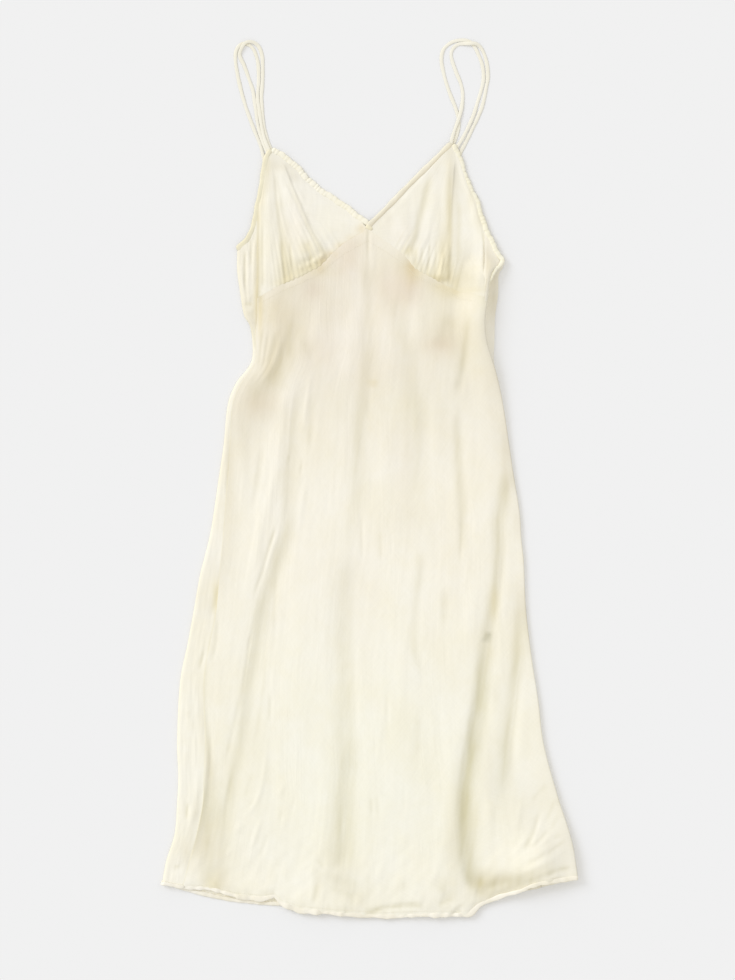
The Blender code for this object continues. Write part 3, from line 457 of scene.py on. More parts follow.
# marks of each tint, in squares: across, down, radius across, radius down, strength
frontMarks = {
    "lemon": [(370, 790, 200, 170, 1.0)],
    "blush": [(370, 310, 150, 100, 1.0)],
    "shade": [
        (322, 262, 26, 20, 0.55), (278, 305, 14, 22, 0.7), (306, 354, 12, 30, 0.5),
        (430, 285, 34, 22, 0.55), (465, 318, 22, 30, 0.7), (270, 406, 12, 16, 0.6),
        (245, 430, 12, 26, 0.7), (245, 392, 12, 14, 0.3), (390, 410, 110, 60, 0.28),
        (312, 440, 14, 40, 0.15), (318, 285, 44, 24, 0.55), (300, 306, 26, 26, 0.6),
        (430, 345, 34, 36, 0.55), (476, 368, 16, 34, 0.6), (325, 372, 36, 44, 0.5),
        (258, 414, 16, 18, 0.6), (440, 404, 44, 44, 0.28), (356, 240, 16, 8, 0.5),
        (236, 430, 9, 60, 0.5), (228, 520, 8, 60, 0.4), (288, 480, 8, 40, 0.5), (494, 380, 9, 50, 0.6),
        (500, 440, 8, 30, 0.45), (372, 470, 12, 50, 0.1), (205, 850, 30, 26, 0.35),
        (520, 876, 34, 12, 0.35), (345, 885, 22, 16, 0.25), (450, 890, 24, 18, 0.4),
        (400, 890, 24, 12, 0.2), (545, 800, 10, 60, 0.25), (515, 640, 8, 50, 0.3),
        (500, 560, 10, 60, 0.35), (366, 249, 26, 14, 0.45), (338, 308, 16, 16, 0.3),
        (276, 341, 12, 15, 0.45), (394, 372, 14, 20, 0.3), (411, 521, 26, 22, 0.3),
        (216, 564, 12, 26, 0.35), (274, 612, 11, 20, 0.35), (486, 792, 8, 30, 0.45),
        (452, 848, 8, 38, 0.5), (546, 850, 13, 16, 0.45), (503, 878, 22, 8, 0.7), (485, 880, 12, 9, 0.6),
        (424, 905, 14, 8, 0.5), (251, 381, 8, 10, 0.5), (433, 281, 12, 3.5, 0.6), (386, 292, 7, 40, 0.3),
        (340, 600, 14, 44, 0.15), (333, 852, 15, 26, 0.2), (270, 378, 10, 16, 0.4),
        (286, 325, 8, 12, 0.3), (488, 757, 8, 34, 0.5), (530, 802, 22, 24, 0.4), (478, 886, 8, 10, 0.3),
        (314, 288, 8, 8, 0.35), (424, 420, 4, 30, 0.2), (250, 736, 9, 20, 0.25),
        (216, 545, 12, 30, 0.25), (366, 272, 14, 14, 0.3), (282, 289, 10, 6, 0.3),
        (292, 284, 10, 6, 0.3), (302, 278, 10, 6, 0.4), (312, 272, 10, 6, 0.4), (322, 265, 9, 6, 0.5),
        (402, 262, 9, 13, 0.7), (408, 294, 7, 12, 0.3), (330, 322, 8, 24, 0.45), (343, 300, 5, 36, 0.3),
        (505, 444, 3.6, 32, 0.9), (508, 482, 6, 24, 0.9), (516, 522, 3, 22, 0.5),
        (519, 602, 4.5, 22, 0.8), (231, 460, 3.4, 56, 0.5), (210, 770, 5, 16, 0.8),
        (219, 870, 7, 26, 0.4), (318, 886, 4, 16, 0.5), (360, 898, 5, 8, 0.6), (491, 640, 5, 26, 0.45),
        (511, 765, 5, 30, 0.6), (566, 836, 8, 26, 0.45), (500, 886, 22, 7, 0.3), (272, 560, 5, 30, 0.25),
        (470, 296, 16, 6, 0.4), (470, 850, 5, 24, 0.5), (338, 872, 15, 16, 0.5), (222, 560, 4, 28, 0.5),
        (228, 500, 3, 36, 0.4), (211, 782, 6, 22, 0.5), (458, 388, 10, 8, 0.3), (490, 898, 12, 5, 0.8),
        (506, 893, 14, 5, 0.9), (530, 889, 16, 5, 0.9), (556, 883, 16, 5, 0.9), (270, 632, 6, 20, 0.25),
        (243, 702, 6, 16, 0.3), (222, 876, 8, 14, 0.5), (495, 692, 5, 14, 0.6), (407, 430, 6, 50, 0.25),
        (260, 296, 3, 12, 0.7),
    ],
    "rose": [
        (347, 255, 13, 20, 0.8), (313, 290, 10, 11, 0.6), (395, 285, 20, 24, 0.8),
        (450, 340, 22, 22, 0.5), (366, 380, 16, 40, 0.2), (322, 350, 16, 16, 0.35),
        (258, 401, 20, 15, 0.45), (373.5, 384, 3, 1.6, 0.6), (412, 290, 12, 14, 0.6),
        (404, 470, 10, 40, 0.2), (300, 560, 30, 50, 0.12), (360, 590, 24, 60, 0.2),
        (450, 560, 30, 50, 0.12), (440, 345, 14, 7, 0.7),
    ],
    "warmShadeAndStain": [
        (290, 326, 18, 22, 0.15), (268, 358, 14, 24, 0.35), (373, 383, 5, 2.8, 0.6),
        (414, 272, 12, 12, 1.0), (448, 292, 14, 7, 0.8), (318, 270, 20, 7, 0.6),
        (260, 760, 60, 60, 0.08), (455, 800, 30, 60, 0.12), (240, 790, 22, 60, 0.05),
        (453, 850, 8, 34, 0.3), (494, 881, 20, 9, 0.4), (270, 312, 12, 16, 0.45), (212, 886, 10, 8, 0.9),
        (494, 604, 5, 16, 0.8), (482, 890, 9, 12, 0.3), (456, 291, 5, 5, 0.6), (260, 312, 3.2, 26, 1.1),
        (441, 286, 12, 4, 0.7),
    ],
    "grey": [(488.2, 636.8, 3.6, 3.0, 0.8), (484.4, 638.8, 2.6, 2.0, 0.5), (489.6, 634.0, 2.0, 1.6, 0.4)],
    "brownShade": [
        (412, 266, 6, 6, 0.8), (280, 318, 17, 20, 0.12), (283, 350, 13, 15, 0.2),
        (271, 370, 12, 13, 0.3), (257, 405, 13, 12, 0.2), (204, 842, 14, 22, 0.3), (411, 277, 5, 8, 0.3),
        (321, 268, 4, 4, 0.5), (328, 261, 4, 4, 0.5), (335, 254, 4, 4, 0.5), (362, 229, 4, 3.5, 0.5),
    ],
    "highlight": [
        (385, 640, 40, 100, 0.2), (300, 650, 22, 90, 0.55), (312, 800, 16, 90, 0.8),
        (420, 840, 30, 50, 0.3), (444, 770, 8, 60, 0.5), (484.5, 702, 5, 16, 2.0),
        (505, 760, 4, 18, 0.9), (577, 878, 8, 9, 1.0), (246, 881, 15, 11, 0.8), (506, 497, 3, 8, 0.8),
        (344, 360, 10, 13, 0.9), (420, 330, 9, 16, 0.6), (270, 440, 6, 30, 0.7), (367, 728, 12, 50, 0.7),
        (309, 806, 12, 40, 0.6), (421, 376, 7, 22, 0.8), (353, 470, 4, 50, 0.8), (330.5, 269, 4, 4, 0.9),
        (268, 306, 5, 8, 0.8), (205, 854, 10, 14, 0.8), (304, 330, 6, 12, 0.6),
    ],
    "sage": [
        (436, 312, 46, 50, 0.6), (394, 261, 24, 15, 0.5), (485, 283, 12, 30, 0.8),
        (468, 347, 24, 30, 0.5), (398, 404, 60, 24, 0.4),
    ],
    "cool": [(561, 850, 24, 24, 0.8), (528, 880, 24, 10, 0.4)],
}


def tintOf(marks, across, down, paintedShade, shadeDepth=(0.195, 0.215, 0.325)):
    # painted shade: 0 to about 1 deep in a fold, painted darker and warmer there; below 0, painted highlight
    tint = 1.0 - paintedShade[..., None] * np.array(shadeDepth)
    for kind, places in marks.items():
        for x, y, radiusX, radiusY, strength in places:
            middleX, middleY = onDress((x, y))
            spread = ((across - middleX) / (radiusX * square)) ** 2
            spread = spread + ((down - middleY) / (radiusY * square)) ** 2
            share = strength * np.exp(-0.9 * spread)[..., None]
            tint = tint * (1.0 + (np.array(tints[kind]) - 1.0) * share)
    return tint


def selectOnly(obj):
    bpy.ops.object.select_all(action="DESELECT")
    bpy.context.view_layer.objects.active = obj
    obj.select_set(True)


def gridPiece(name, points, clothSize, tint):
    # a grid primitive whose points are moved to their places, row by row and column by column
    rows, columns = points.shape[0] - 1, points.shape[1] - 1
    bpy.ops.mesh.primitive_grid_add(x_subdivisions=columns, y_subdivisions=rows, size=2.0)
    obj = bpy.context.object
    obj.name = obj.data.name = name
    mesh = obj.data
    start = np.empty(len(mesh.vertices) * 3)
    mesh.vertices.foreach_get("co", start)
    start = start.reshape(-1, 3)
    column = np.rint((start[:, 0] + 1) / 2 * columns).astype(int)
    row = np.rint((start[:, 1] + 1) / 2 * rows).astype(int)
    mesh.vertices.foreach_set("co", placed(points)[row, column].ravel())
    corner = np.empty(len(mesh.loops), int)
    mesh.loops.foreach_get("vertex_index", corner)
    uv = np.stack([column[corner] / columns * clothSize[0], row[corner] / rows * clothSize[1]], axis=1) * mm
    mesh.uv_layers[0].name = "clothMap"
    mesh.uv_layers["clothMap"].data.foreach_set("uv", uv.ravel())
    colour = np.ones((len(mesh.vertices), 4))
    colour[:, :3] = tint[row, column]
    layer = mesh.color_attributes.new("tint", "FLOAT_COLOR", "POINT")
    layer.data.foreach_set("color", colour.ravel())
    mesh.update()
    return obj


def applied(obj, kind, **values):
    modifier = obj.modifiers.new(kind.title(), kind)
    for key, value in values.items():
        setattr(modifier, key, value)
    selectOnly(obj)
    bpy.ops.object.modifier_apply(modifier=modifier.name)


def finished(obj, material, slot, *nodes, sharp=180.0):
    selectOnly(obj)
    bpy.ops.object.shade_smooth_by_angle(angle=math.radians(sharp))
    obj.data.materials.clear()
    obj.data.materials.append(material)
    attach(obj, "root")
    if nodes:
        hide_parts(*nodes)
    obj.select_set(False)
    print("made", obj.name, len(obj.data.polygons), "faces")
    return obj


def clothPiece(name, points, clothSize, tint, material, slot, *nodes):
    obj = gridPiece(name, points, clothSize, tint)
    applied(obj, "SOLIDIFY", thickness=dress["cloth"] * mm, offset=-1.0, use_even_offset=True)
    return finished(obj, material, slot, *nodes, sharp=58.0)


def tubePiece(name, route, halfWidth, halfHeight, sides, material, slot, *nodes, shape, tint, flat=1.0):
    # a tube along a route, boxier in section with a flat below 1. shape gives how much wider and higher each
    # ring is, and how far it lies sideways and up, from its place along the route
    rings = len(route)
    ahead = np.gradient(route[:, :2], axis=0)
    ahead /= np.maximum(np.linalg.norm(ahead, axis=1, keepdims=True), 1e-9)
    # down runs against the frame's Y, so this points to the right of the way that the route runs
    sideways = np.stack([-ahead[:, 1], ahead[:, 0]], axis=1)
    turn = -2.0 * np.pi * np.arange(sides + 1) / sides
    waves = np.round([np.cos(turn), np.sin(turn)], 9)
    boxed = np.sign(waves) * np.abs(waves) ** flat
    run = alongRoute(route)
    points = np.empty((rings, sides + 1, 3))
    colours = np.ones((rings, sides + 1, 3))
    for i in range(rings):
        wider, higher, aside, lift = shape(run[i], run[-1])
        rounded = min(run[i] / halfWidth, (run[-1] - run[i]) / halfWidth, 1.0)
        rounded = blend(0.25, 1.0, math.sqrt(rounded * (2.0 - rounded)))
        wider, higher = wider * rounded, higher * rounded
        out = halfWidth * wider * boxed[0] + aside
        points[i, :, 0] = route[i, 0] + sideways[i, 0] * out
        points[i, :, 1] = route[i, 1] + sideways[i, 1] * out
        points[i, :, 2] = route[i, 2] + halfHeight * higher * boxed[1] + lift
        colours[i] = tint(run[i], run[-1])
    obj = gridPiece(name, points, (2 * math.pi * halfWidth, run[-1]), colours)
    bpy.ops.object.mode_set(mode="EDIT")
    bpy.ops.mesh.select_all(action="SELECT")
    bpy.ops.mesh.remove_doubles(threshold=1e-6)
    bpy.ops.mesh.select_all(action="DESELECT")
    bpy.ops.mesh.select_non_manifold(extend=False, use_wire=False, use_multi_face=False, use_verts=False)
    bpy.ops.mesh.fill_holes(sides=0)
    bpy.ops.mesh.select_all(action="SELECT")
    bpy.ops.mesh.normals_make_consistent(inside=False)
    bpy.ops.object.mode_set(mode="OBJECT")
    return finished(obj, material, slot, *nodes)


def newGroup(name, inputs, outputs):
    group = bpy.data.node_groups.new(name, "ShaderNodeTree")
    for label, kind, value in inputs:
        socket = group.interface.new_socket(label, in_out="INPUT", socket_type=kind)
        if value is not None:
            socket.default_value = value
    for label, kind in outputs:
        group.interface.new_socket(label, in_out="OUTPUT", socket_type=kind)
    return group, group.nodes.new("NodeGroupInput").outputs, group.nodes.new("NodeGroupOutput").inputs


def node(tree, kind, *values, settings=None, **named):
    # values go to the first inputs, named ones to the inputs of those names
    made = tree.nodes.new(kind)
    for key, value in (settings or {}).items():
        setattr(made, key, value)
    for label, value in (*enumerate(values), *named.items()):
        if isinstance(value, bpy.types.NodeSocket):
            tree.links.new(value, made.inputs[label])
        else:
            made.inputs[label].default_value = value
    return made.outputs


def maths(tree, operation, *values):
    return node(tree, "ShaderNodeMath", *values, settings={"operation": operation})[0]


def ranged(tree, value, fromLow, fromHigh, toLow, toHigh):
    return node(tree, "ShaderNodeMapRange", value, fromLow, fromHigh, toLow, toHigh)[0]


def mixed(tree, share, first, second, way="MIX"):
    made = tree.nodes.new("ShaderNodeMix")
    made.data_type, made.blend_type = "RGBA", way
    for place, value in ((6, first), (7, second)):  # its two colour inputs
        tree.links.new(value, made.inputs[place])
    if isinstance(share, bpy.types.NodeSocket):
        tree.links.new(share, made.inputs[0])
    else:
        made.inputs[0].default_value = share
    return made.outputs[2]


def cloudy(tree, place, scale, detail, roughness, distortion=0.0):
    return node(
        tree, "ShaderNodeTexNoise", Vector=place, Scale=scale, Detail=detail, Roughness=roughness,
        Distortion=distortion,
    )[0]


def turned(tree, place, angle):
    return node(
        tree, "ShaderNodeVectorRotate", settings={"rotation_type": "Z_AXIS"}, Vector=place, Angle=angle
    )[0]


def stretched(tree, place, times):
    return node(tree, "ShaderNodeVectorMath", place, times, settings={"operation": "MULTIPLY"})[0]


def weaveGroup():
    # plain weave laid on the bias, with uneven threads
    group, given, out = newGroup(
        "biasWeave",
        [("Cloth", "NodeSocketVector", None), ("Threads", "NodeSocketFloat", 900.0),
         ("Turn", "NodeSocketFloat", 0.785)],
        [("Height", "NodeSocketFloat"), ("Slub", "NodeSocketFloat")],
    )
    parts = node(group, "ShaderNodeSeparateXYZ", turned(group, given["Cloth"], given["Turn"]))
    waves, slubs = [], []
    for axis, other, seed in (("X", "Y", 0.0), ("Y", "X", 7.0)):
        threads = maths(group, "MULTIPLY", parts[axis], given["Threads"])
        waves.append(maths(group, "SINE", maths(group, "MULTIPLY", threads, 2 * math.pi)))
        longWay = maths(group, "MULTIPLY", parts[other], 22.0)
        crossWay = maths(group, "MULTIPLY", parts[axis], 420.0)
        place = node(group, "ShaderNodeCombineXYZ", longWay, crossWay, seed)[0]
        slubs.append(cloudy(group, place, 1.0, 2.0, 0.6))
    slub = maths(group, "MULTIPLY", maths(group, "ADD", *slubs), 0.5)
    height = maths(group, "MULTIPLY_ADD", maths(group, "MULTIPLY", *waves), 0.25, slub)
    group.links.new(height, out["Height"])
    group.links.new(slub, out["Slub"])
    return group


def agedGroup():
    # faint yellowing in soft clouds, as on washed old silk
    group, given, out = newGroup(
        "agedSilk",
        [("Place", "NodeSocketVector", None), ("Fresh", "NodeSocketColor", (0.84, 0.81, 0.70, 1.0)),
         ("Yellowed", "NodeSocketColor", (0.82, 0.78, 0.62, 1.0)), ("Slub", "NodeSocketFloat", 0.5)],
        [("Colour", "NodeSocketColor"), ("Cloud", "NodeSocketFloat")],
    )
    large = cloudy(group, given["Place"], 11.0, 3.0, 0.55)
    small = cloudy(group, given["Place"], 70.0, 3.0, 0.6)
    share = ranged(group, maths(group, "MULTIPLY_ADD", small, 0.35, large), 0.5, 0.85, 0.0, 1.0)
    clouded = mixed(group, share, given["Fresh"], given["Yellowed"])
    threadTone = ranged(group, given["Slub"], 0.3, 0.7, 0.975, 1.02)
    group.links.new(mixed(group, 1.0, clouded, threadTone, "MULTIPLY"), out["Colour"])
    group.links.new(share, out["Cloud"])
    return group


def streakGroup():
    # fine crinkles that run down the cloth, uneven in length
    group, given, out = newGroup(
        "silkStreaks", [("Cloth", "NodeSocketVector", None)], [("Height", "NodeSocketFloat")]
    )
    layers = []
    for acrossTimes, downTimes, lean in ((120.0, 9.0, 0.04), (310.0, 21.0, -0.06)):
        place = stretched(group, turned(group, given["Cloth"], lean), (acrossTimes, downTimes, 1.0))
        layers.append(cloudy(group, place, 1.0, 2.0, 0.55, 0.8))
    patch = cloudy(group, stretched(group, given["Cloth"], (14.0, 5.0, 1.0)), 1.0, 1.0, 0.5)
    both = maths(group, "MULTIPLY_ADD", layers[1], 0.45, layers[0])
    height = ranged(group, both, 0.35, 1.1, -1.0, 1.0)
    strength = ranged(group, patch, 0.35, 0.65, 0.15, 1.0)
    group.links.new(maths(group, "MULTIPLY", height, strength), out["Height"])
    return group


weave = weaveGroup()
streaks = streakGroup()
aged = agedGroup()
silk = {
    "threads": 900.0, "threadDepth": 0.0003, "bump": 0.12, "crinkleDepth": 0.0007, "crinkled": 0.2,
    "rough": 0.58, "specular": 0.3, "sheen": 0.12, "sheenRough": 0.4,
}


def silkMaterial(name, fresh, yellowed, **changed):
    values = {**silk, **changed}
    material = bpy.data.materials.new(name)
    material.use_nodes = True
    tree = material.node_tree
    shader = tree.nodes["Principled BSDF"].inputs
    cloth = node(tree, "ShaderNodeUVMap", settings={"uv_map": "clothMap"})[0]
    place = node(tree, "ShaderNodeTexCoord")["Object"]
    threads = node(
        tree, "ShaderNodeGroup", settings={"node_tree": weave}, Cloth=cloth, Threads=values["threads"]
    )
    colour = node(
        tree, "ShaderNodeGroup", settings={"node_tree": aged}, Place=place, Fresh=(*fresh, 1.0),
        Yellowed=(*yellowed, 1.0), Slub=threads["Slub"],
    )
    streak = node(tree, "ShaderNodeGroup", settings={"node_tree": streaks}, Cloth=cloth)[0]
    tint = node(tree, "ShaderNodeAttribute", settings={"attribute_name": "tint"})["Color"]
    tinted = mixed(tree, 1.0, colour["Colour"], tint, "MULTIPLY")
    # painted shade in the hollows of the fine crinkles and painted highlight on their crests
    streakShade = ranged(tree, streak, -0.6, 0.6, 0.987, 1.011)
    tree.links.new(mixed(tree, 1.0, tinted, streakShade, "MULTIPLY"), shader["Base Color"])
    rough = ranged(tree, colour["Cloud"], 0.0, 1.0, values["rough"] - 0.05, values["rough"] + 0.07)
    tree.links.new(rough, shader["Roughness"])
    wide = node(
        tree, "ShaderNodeBump", Strength=values["crinkled"], Distance=values["crinkleDepth"], Height=streak
    )[0]
    relief = node(
        tree, "ShaderNodeBump", Strength=values["bump"], Distance=values["threadDepth"],
        Height=threads["Height"], Normal=wide,
    )[0]
    tree.links.new(relief, shader["Normal"])
    shader["Specular IOR Level"].default_value = values["specular"]
    shader["Sheen Weight"].default_value = values["sheen"]
    shader["Sheen Roughness"].default_value = values["sheenRough"]
    return material


bodySilk = silkMaterial("bodySilk", (0.865, 0.829, 0.729), (0.85, 0.803, 0.67))
cupSilk = silkMaterial("cupSilk", (0.845, 0.815, 0.725), (0.83, 0.79, 0.665), sheen=0.1)
bindingSilk = silkMaterial("bindingSilk", (0.875, 0.845, 0.745), (0.86, 0.82, 0.68), rough=0.52, bump=0.2)
strapSilk = silkMaterial("strapSilk", (0.89, 0.865, 0.78), (0.87, 0.84, 0.73), rough=0.5, bump=0.2)
thread = silkMaterial("sewingThread", (0.84, 0.80, 0.68), (0.82, 0.77, 0.62), rough=0.6, threads=2500.0)
print("materials ready")

# The front panel, from the empire seam to the hem
frontPanel = {
    "level": 6.0, "lowest": 3.2, "firmness": 1.6, "seam": 5.0, "hem": 4.0, "hemShare": 0.75,
    "point": -5.0,       # across, where the cups meet
    "easeAtSeam": 8.0, "easeAtLeft": 10.0, "easeAtRight": 40.0, "easeAtHem": 16.0,
    "columns": (136, 116),
    "rows": ((369.0, 369.7, 1), (369.7, 519.0, 38), (519.0, 1060.0, 84), (1060.0, 1196.0, 46)),
    "rim": 0.5, "rimWidth": 2.6, "under": 0.6, "reach": 1.6, "crinkle": 0.22, "crumple": 0.5,
    "overLeft": 1.6, "step": 0.45, "around": 8, "relief": 0.78, "round": 0.22,
    "liftedHem": ((-60.0, 55.0, 3.5), (95.0, 50.0, 3.0), (240.0, 52.0, 9.0)),
    "pucker": 0.9, "puckerReach": 13.0, "apex": 2.0,
    # sizes of the unevenness across and down, and its seed
    "fine": (12.0, 70.0, 1.7), "finer": (5.5, 40.0, 5.1), "crumples": (13.0, 30.0, 9.3),
    "puckers": (7.0, 11.0, 4.4), "smallPuckers": (4.5, 16.0, 7.7),
    # where the cloth crumples and rises towards the hem: start and reach
    "crumpledDown": (1090.0, 110.0), "liftedFromHem": (90.0, 80.0),
    # stretches of the seam where the cups' gathers lie over it: from, comes, to, goes
    "gathered": ((-128.0, 10.0, -56.0, 8.0), (46.0, 8.0, 112.0, 8.0)),
    "cornerLift": 3.5, "cornerAcross": (170.0, 120.0), "cornerDown": (1080.0, 110.0),
}


def cornerLift(across, down):
    # the hem's right corner stands up a little from the surface
    share = 1.0
    for place, (start, reach) in ((across, frontPanel["cornerAcross"]), (down, frontPanel["cornerDown"])):
        share = share * eased((place - start) / reach)
    return frontPanel["cornerLift"] * share


def onRound(height, angle):
    # height of the cloth round a side edge, from its underside at -90 degrees to its top at 90
    return height / 2 * (1.0 + math.sin(angle))


def seamHeight(across):
    # of the cloth along the seam under the cups
    leftSeam, leftHeight = sideAt(leftSide, dress["empire"])[1:]
    rightSeam, rightHeight = sideAt(rightSide, dress["empire"])[1:]
    height = blend(leftHeight, frontPanel["seam"], eased((across - leftSeam) / frontPanel["easeAtLeft"]))
    return blend(rightHeight, height, eased((rightSeam - across) / frontPanel["easeAtRight"]))


def gatheredAt(across):
    # where the cups' gathers puff out over the front panel's top edge
    return np.maximum(*(
        eased((across - start) / comes) * eased((end - across) / goes)
        for start, comes, end, goes in frontPanel["gathered"]
    ))


def frontPoints():
    left = sideAt(leftSide, dress["empire"])[1]
    right = sideAt(rightSide, dress["empire"])[1]
    pointShare = (frontPanel["point"] - left) / (right - left)
    leftCount, rightCount = frontPanel["columns"]
    shares = np.concatenate([
        np.linspace(0.0, pointShare, leftCount, endpoint=False), np.linspace(pointShare, 1.0, rightCount + 1)
    ])
    levels = levelsOf(frontPanel["rows"])
    leftSeam, leftHeight = (values[:, None] for values in sideAt(leftSide, levels)[1:])
    rightOutline, rightSeam, rightHeight = (values[:, None] for values in sideAt(rightSide, levels))
    across = blend(leftSeam - frontPanel["overLeft"], rightSeam, shares[None, :])
    level = levels[:, None] + np.zeros_like(across)
    bySeam = nearness(level, dress["empire"], dress["seamReach"])
    byHem = nearness(level, dress["sideHem"], dress["hemReach"])
    down = level + (edgeAt(empireEdge, across) - dress["empire"]) * bySeam
    down = down + (edgeAt(frontHem, across) - dress["sideHem"]) * byHem
    relief, paintedShade = reliefOf(frontFolds, across, down)
    fine = roughness(across, down, *frontPanel["fine"])
    fine = fine + 0.6 * roughness(across + 0.15 * down, down, *frontPanel["finer"])
    relief = frontPanel["relief"] * relief + frontPanel["crinkle"] * fine
    crumple = roughness(across + 0.7 * down, down - 0.6 * across, *frontPanel["crumples"])
    crumpledFrom, crumpledReach = frontPanel["crumpledDown"]
    relief = relief + frontPanel["crumple"] * eased((down - crumpledFrom) / crumpledReach) * crumple
    height = frontPanel["level"] + relief
    toHem = edgeAt(frontHem, across) - down
    pucker = roughness(across, down, *frontPanel["puckers"])
    pucker = pucker + 0.7 * roughness(across - 0.5 * down, down, *frontPanel["smallPuckers"])
    puckered = np.exp(-((toHem / frontPanel["puckerReach"]) ** 2))
    relief = relief + frontPanel["pucker"] * pucker * puckered
    # painted shade in the hollows of the puckers near the hem, a little painted highlight on their crests
    paintedShade = paintedShade + puckered * np.clip(-0.35 * pucker, -0.1, 0.3)
    lifted = sum(
        lift * np.exp(-((across - middle) / width) ** 2) for middle, width, lift in frontPanel["liftedHem"]
    )
    liftedFrom, liftedReach = frontPanel["liftedFromHem"]
    lifted = lifted * eased((liftedFrom - toHem) / liftedReach)
    hemHeight = frontPanel["hem"] + frontPanel["hemShare"] * relief + lifted
    height = blend(hemHeight, height + lifted, eased(toHem / frontPanel["easeAtHem"]))
    height = heldAbove(frontPanel["lowest"], height, frontPanel["firmness"])
    fromSeam = down - edgeAt(empireEdge, across)
    height = blend(frontPanel["seam"], height, eased(fromSeam / frontPanel["easeAtSeam"]))
    fromLeft = across - leftSeam + frontPanel["overLeft"]
    height = blend(leftHeight + frontPanel["step"], height, eased(fromLeft / frontPanel["easeAtLeft"]))
    fromRight = rightSeam - across
    height = blend(rightHeight + frontPanel["step"], height, eased(fromRight / frontPanel["easeAtRight"]))
    height = height + cornerLift(across, down)
    gathered = gatheredAt(across)
    atSeam = 1.0 - eased((fromSeam - frontPanel["rimWidth"]) / 1.6)
    fromPoint = across - frontPanel["point"]
    rim = np.where(fromPoint > 0.0, 0.3, 1.0) * frontPanel["rim"]
    height = height + atSeam * blend(rim, -frontPanel["under"], gathered)
    down = down - frontPanel["reach"] * gathered * (1.0 - eased(fromSeam / 3.0))
    down = down - frontPanel["apex"] * np.exp(-((fromPoint / 6.0) ** 2)) * (1.0 - eased(fromSeam / 8.0))
    points = np.stack([across, down, height], axis=-1)
    # the painted shade made streaky by the fine crinkles
    paintedShade = paintedShade * (1.0 + 0.45 * fine) + 0.045 * fine
    tint = tintOf(frontMarks, across, down, np.clip(paintedShade, -0.08, 1.2))
    # the cloth goes on over the rounded edge at the right
    around = []
    for angle in np.linspace(math.pi / 2, 0.25, frontPanel["around"] + 1)[1:]:
        out = (rightOutline - rightSeam) * max(math.cos(angle), 0.0) ** frontPanel["round"]
        edge = points[:, -1].copy()
        edge[:, 0] = (rightSeam + (out + frontPanel["step"]))[:, 0]
        edge[:, 2] = (onRound(rightHeight, angle) + frontPanel["step"])[:, 0]
        edge[:, 2] += cornerLift(edge[:, 0], edge[:, 1])
        # it comes out from under the side flap just below the empire seam
        edge[:, 2] -= 1.2 * (1.0 - eased((edge[:, 1] - dress["empire"] - 1.0) / 10.0))
        around.append(edge)
    points = np.concatenate([points, np.stack(around, axis=1)], axis=1)
    return points, np.concatenate([tint, np.repeat(tint[:, -1:], len(around), axis=1)], axis=1)


frontGrid, frontTint = frontPoints()
frontCloth = clothPiece(
    "frontPanelCloth", frontGrid, (555.0, 980.0), frontTint, bodySilk, "body_cloth", "front_panel"
)

# The back panel, with its side edges turned up and over to the front
backPanel = {
    "rows": ((304.0, 369.0, 26), (369.0, 519.0, 34), (519.0, 1060.0, 70), (1060.0, 1196.0, 34)),
    "rightArc": 12, "bottom": 26, "leftArc": 8, "strip": 30,
    "leftRound": 5.0, "crinkle": 0.4, "relief": 0.65,
    "seenAtWaist": (14.5, 388.0, 62.0),
    "hemTurns": 0.7,     # angle of a side edge at which the back's hem goes over to the front's
    "fine": (7.0, 20.0, 3.3), "finer": (3.5, 12.0, 6.1),
    # colour of the painted shade in folds, along the left seam and round the left edge
    "shadeTone": (0.195, 0.225, 0.40),
}
sideFolds = [
    # flap under the arm
    (((250, 238), (250.5, 252), (250, 268)), 1.8, 1.8, -0.7, 0.1),
    (((244.5, 250), (244, 272), (244.5, 294)), 1.9, 1.9, -0.8, 0.15),
    (((247.5, 246), (247.5, 270), (248, 296)), 2.0, 2.0, 0.9, 0.1),
    (((254, 240), (253.5, 262), (253, 292)), 2.2, 2.0, 0.9, 0.1),
    (((241, 262), (241.5, 280), (243, 300)), 1.8, 1.8, 0.8, 0.2),
    (((242, 300), (252, 297)), 1.8, 1.8, 0.9, 0.2, 0.2),
    (((243, 305), (253, 303)), 1.6, 1.6, -1.0, 0.2, 0.2),
    (((244, 309), (254, 309)), 1.8, 1.8, 0.9, 0.2, 0.2),
    (((246, 314), (255, 315)), 1.6, 1.6, -1.0, 0.2, 0.2),
    (((248, 319), (255, 321)), 1.8, 1.8, 0.8, 0.2, 0.2),
    (((251, 326), (255, 350)), 1.8, 1.8, -0.9, 0.2, 0.2),
    # strip down the left side
    (((217, 580), (215, 598), (211, 616)), 3.5, 3, -0.8),
    (((203, 650), (199, 668)), 2.4, 2.2, -1.0),
    (((186, 700), (189, 730)), 4, 4, 0.8),
    (((197, 760), (194, 800), (186, 836)), 4, 4, 1.3),
    (((187, 802), (186, 820)), 1.8, 1.8, -0.9),
    (((172, 868), (182, 864)), 2.0, 2.0, -1.0),
    (((170, 876), (184, 874)), 2.0, 2.0, 0.9),
]
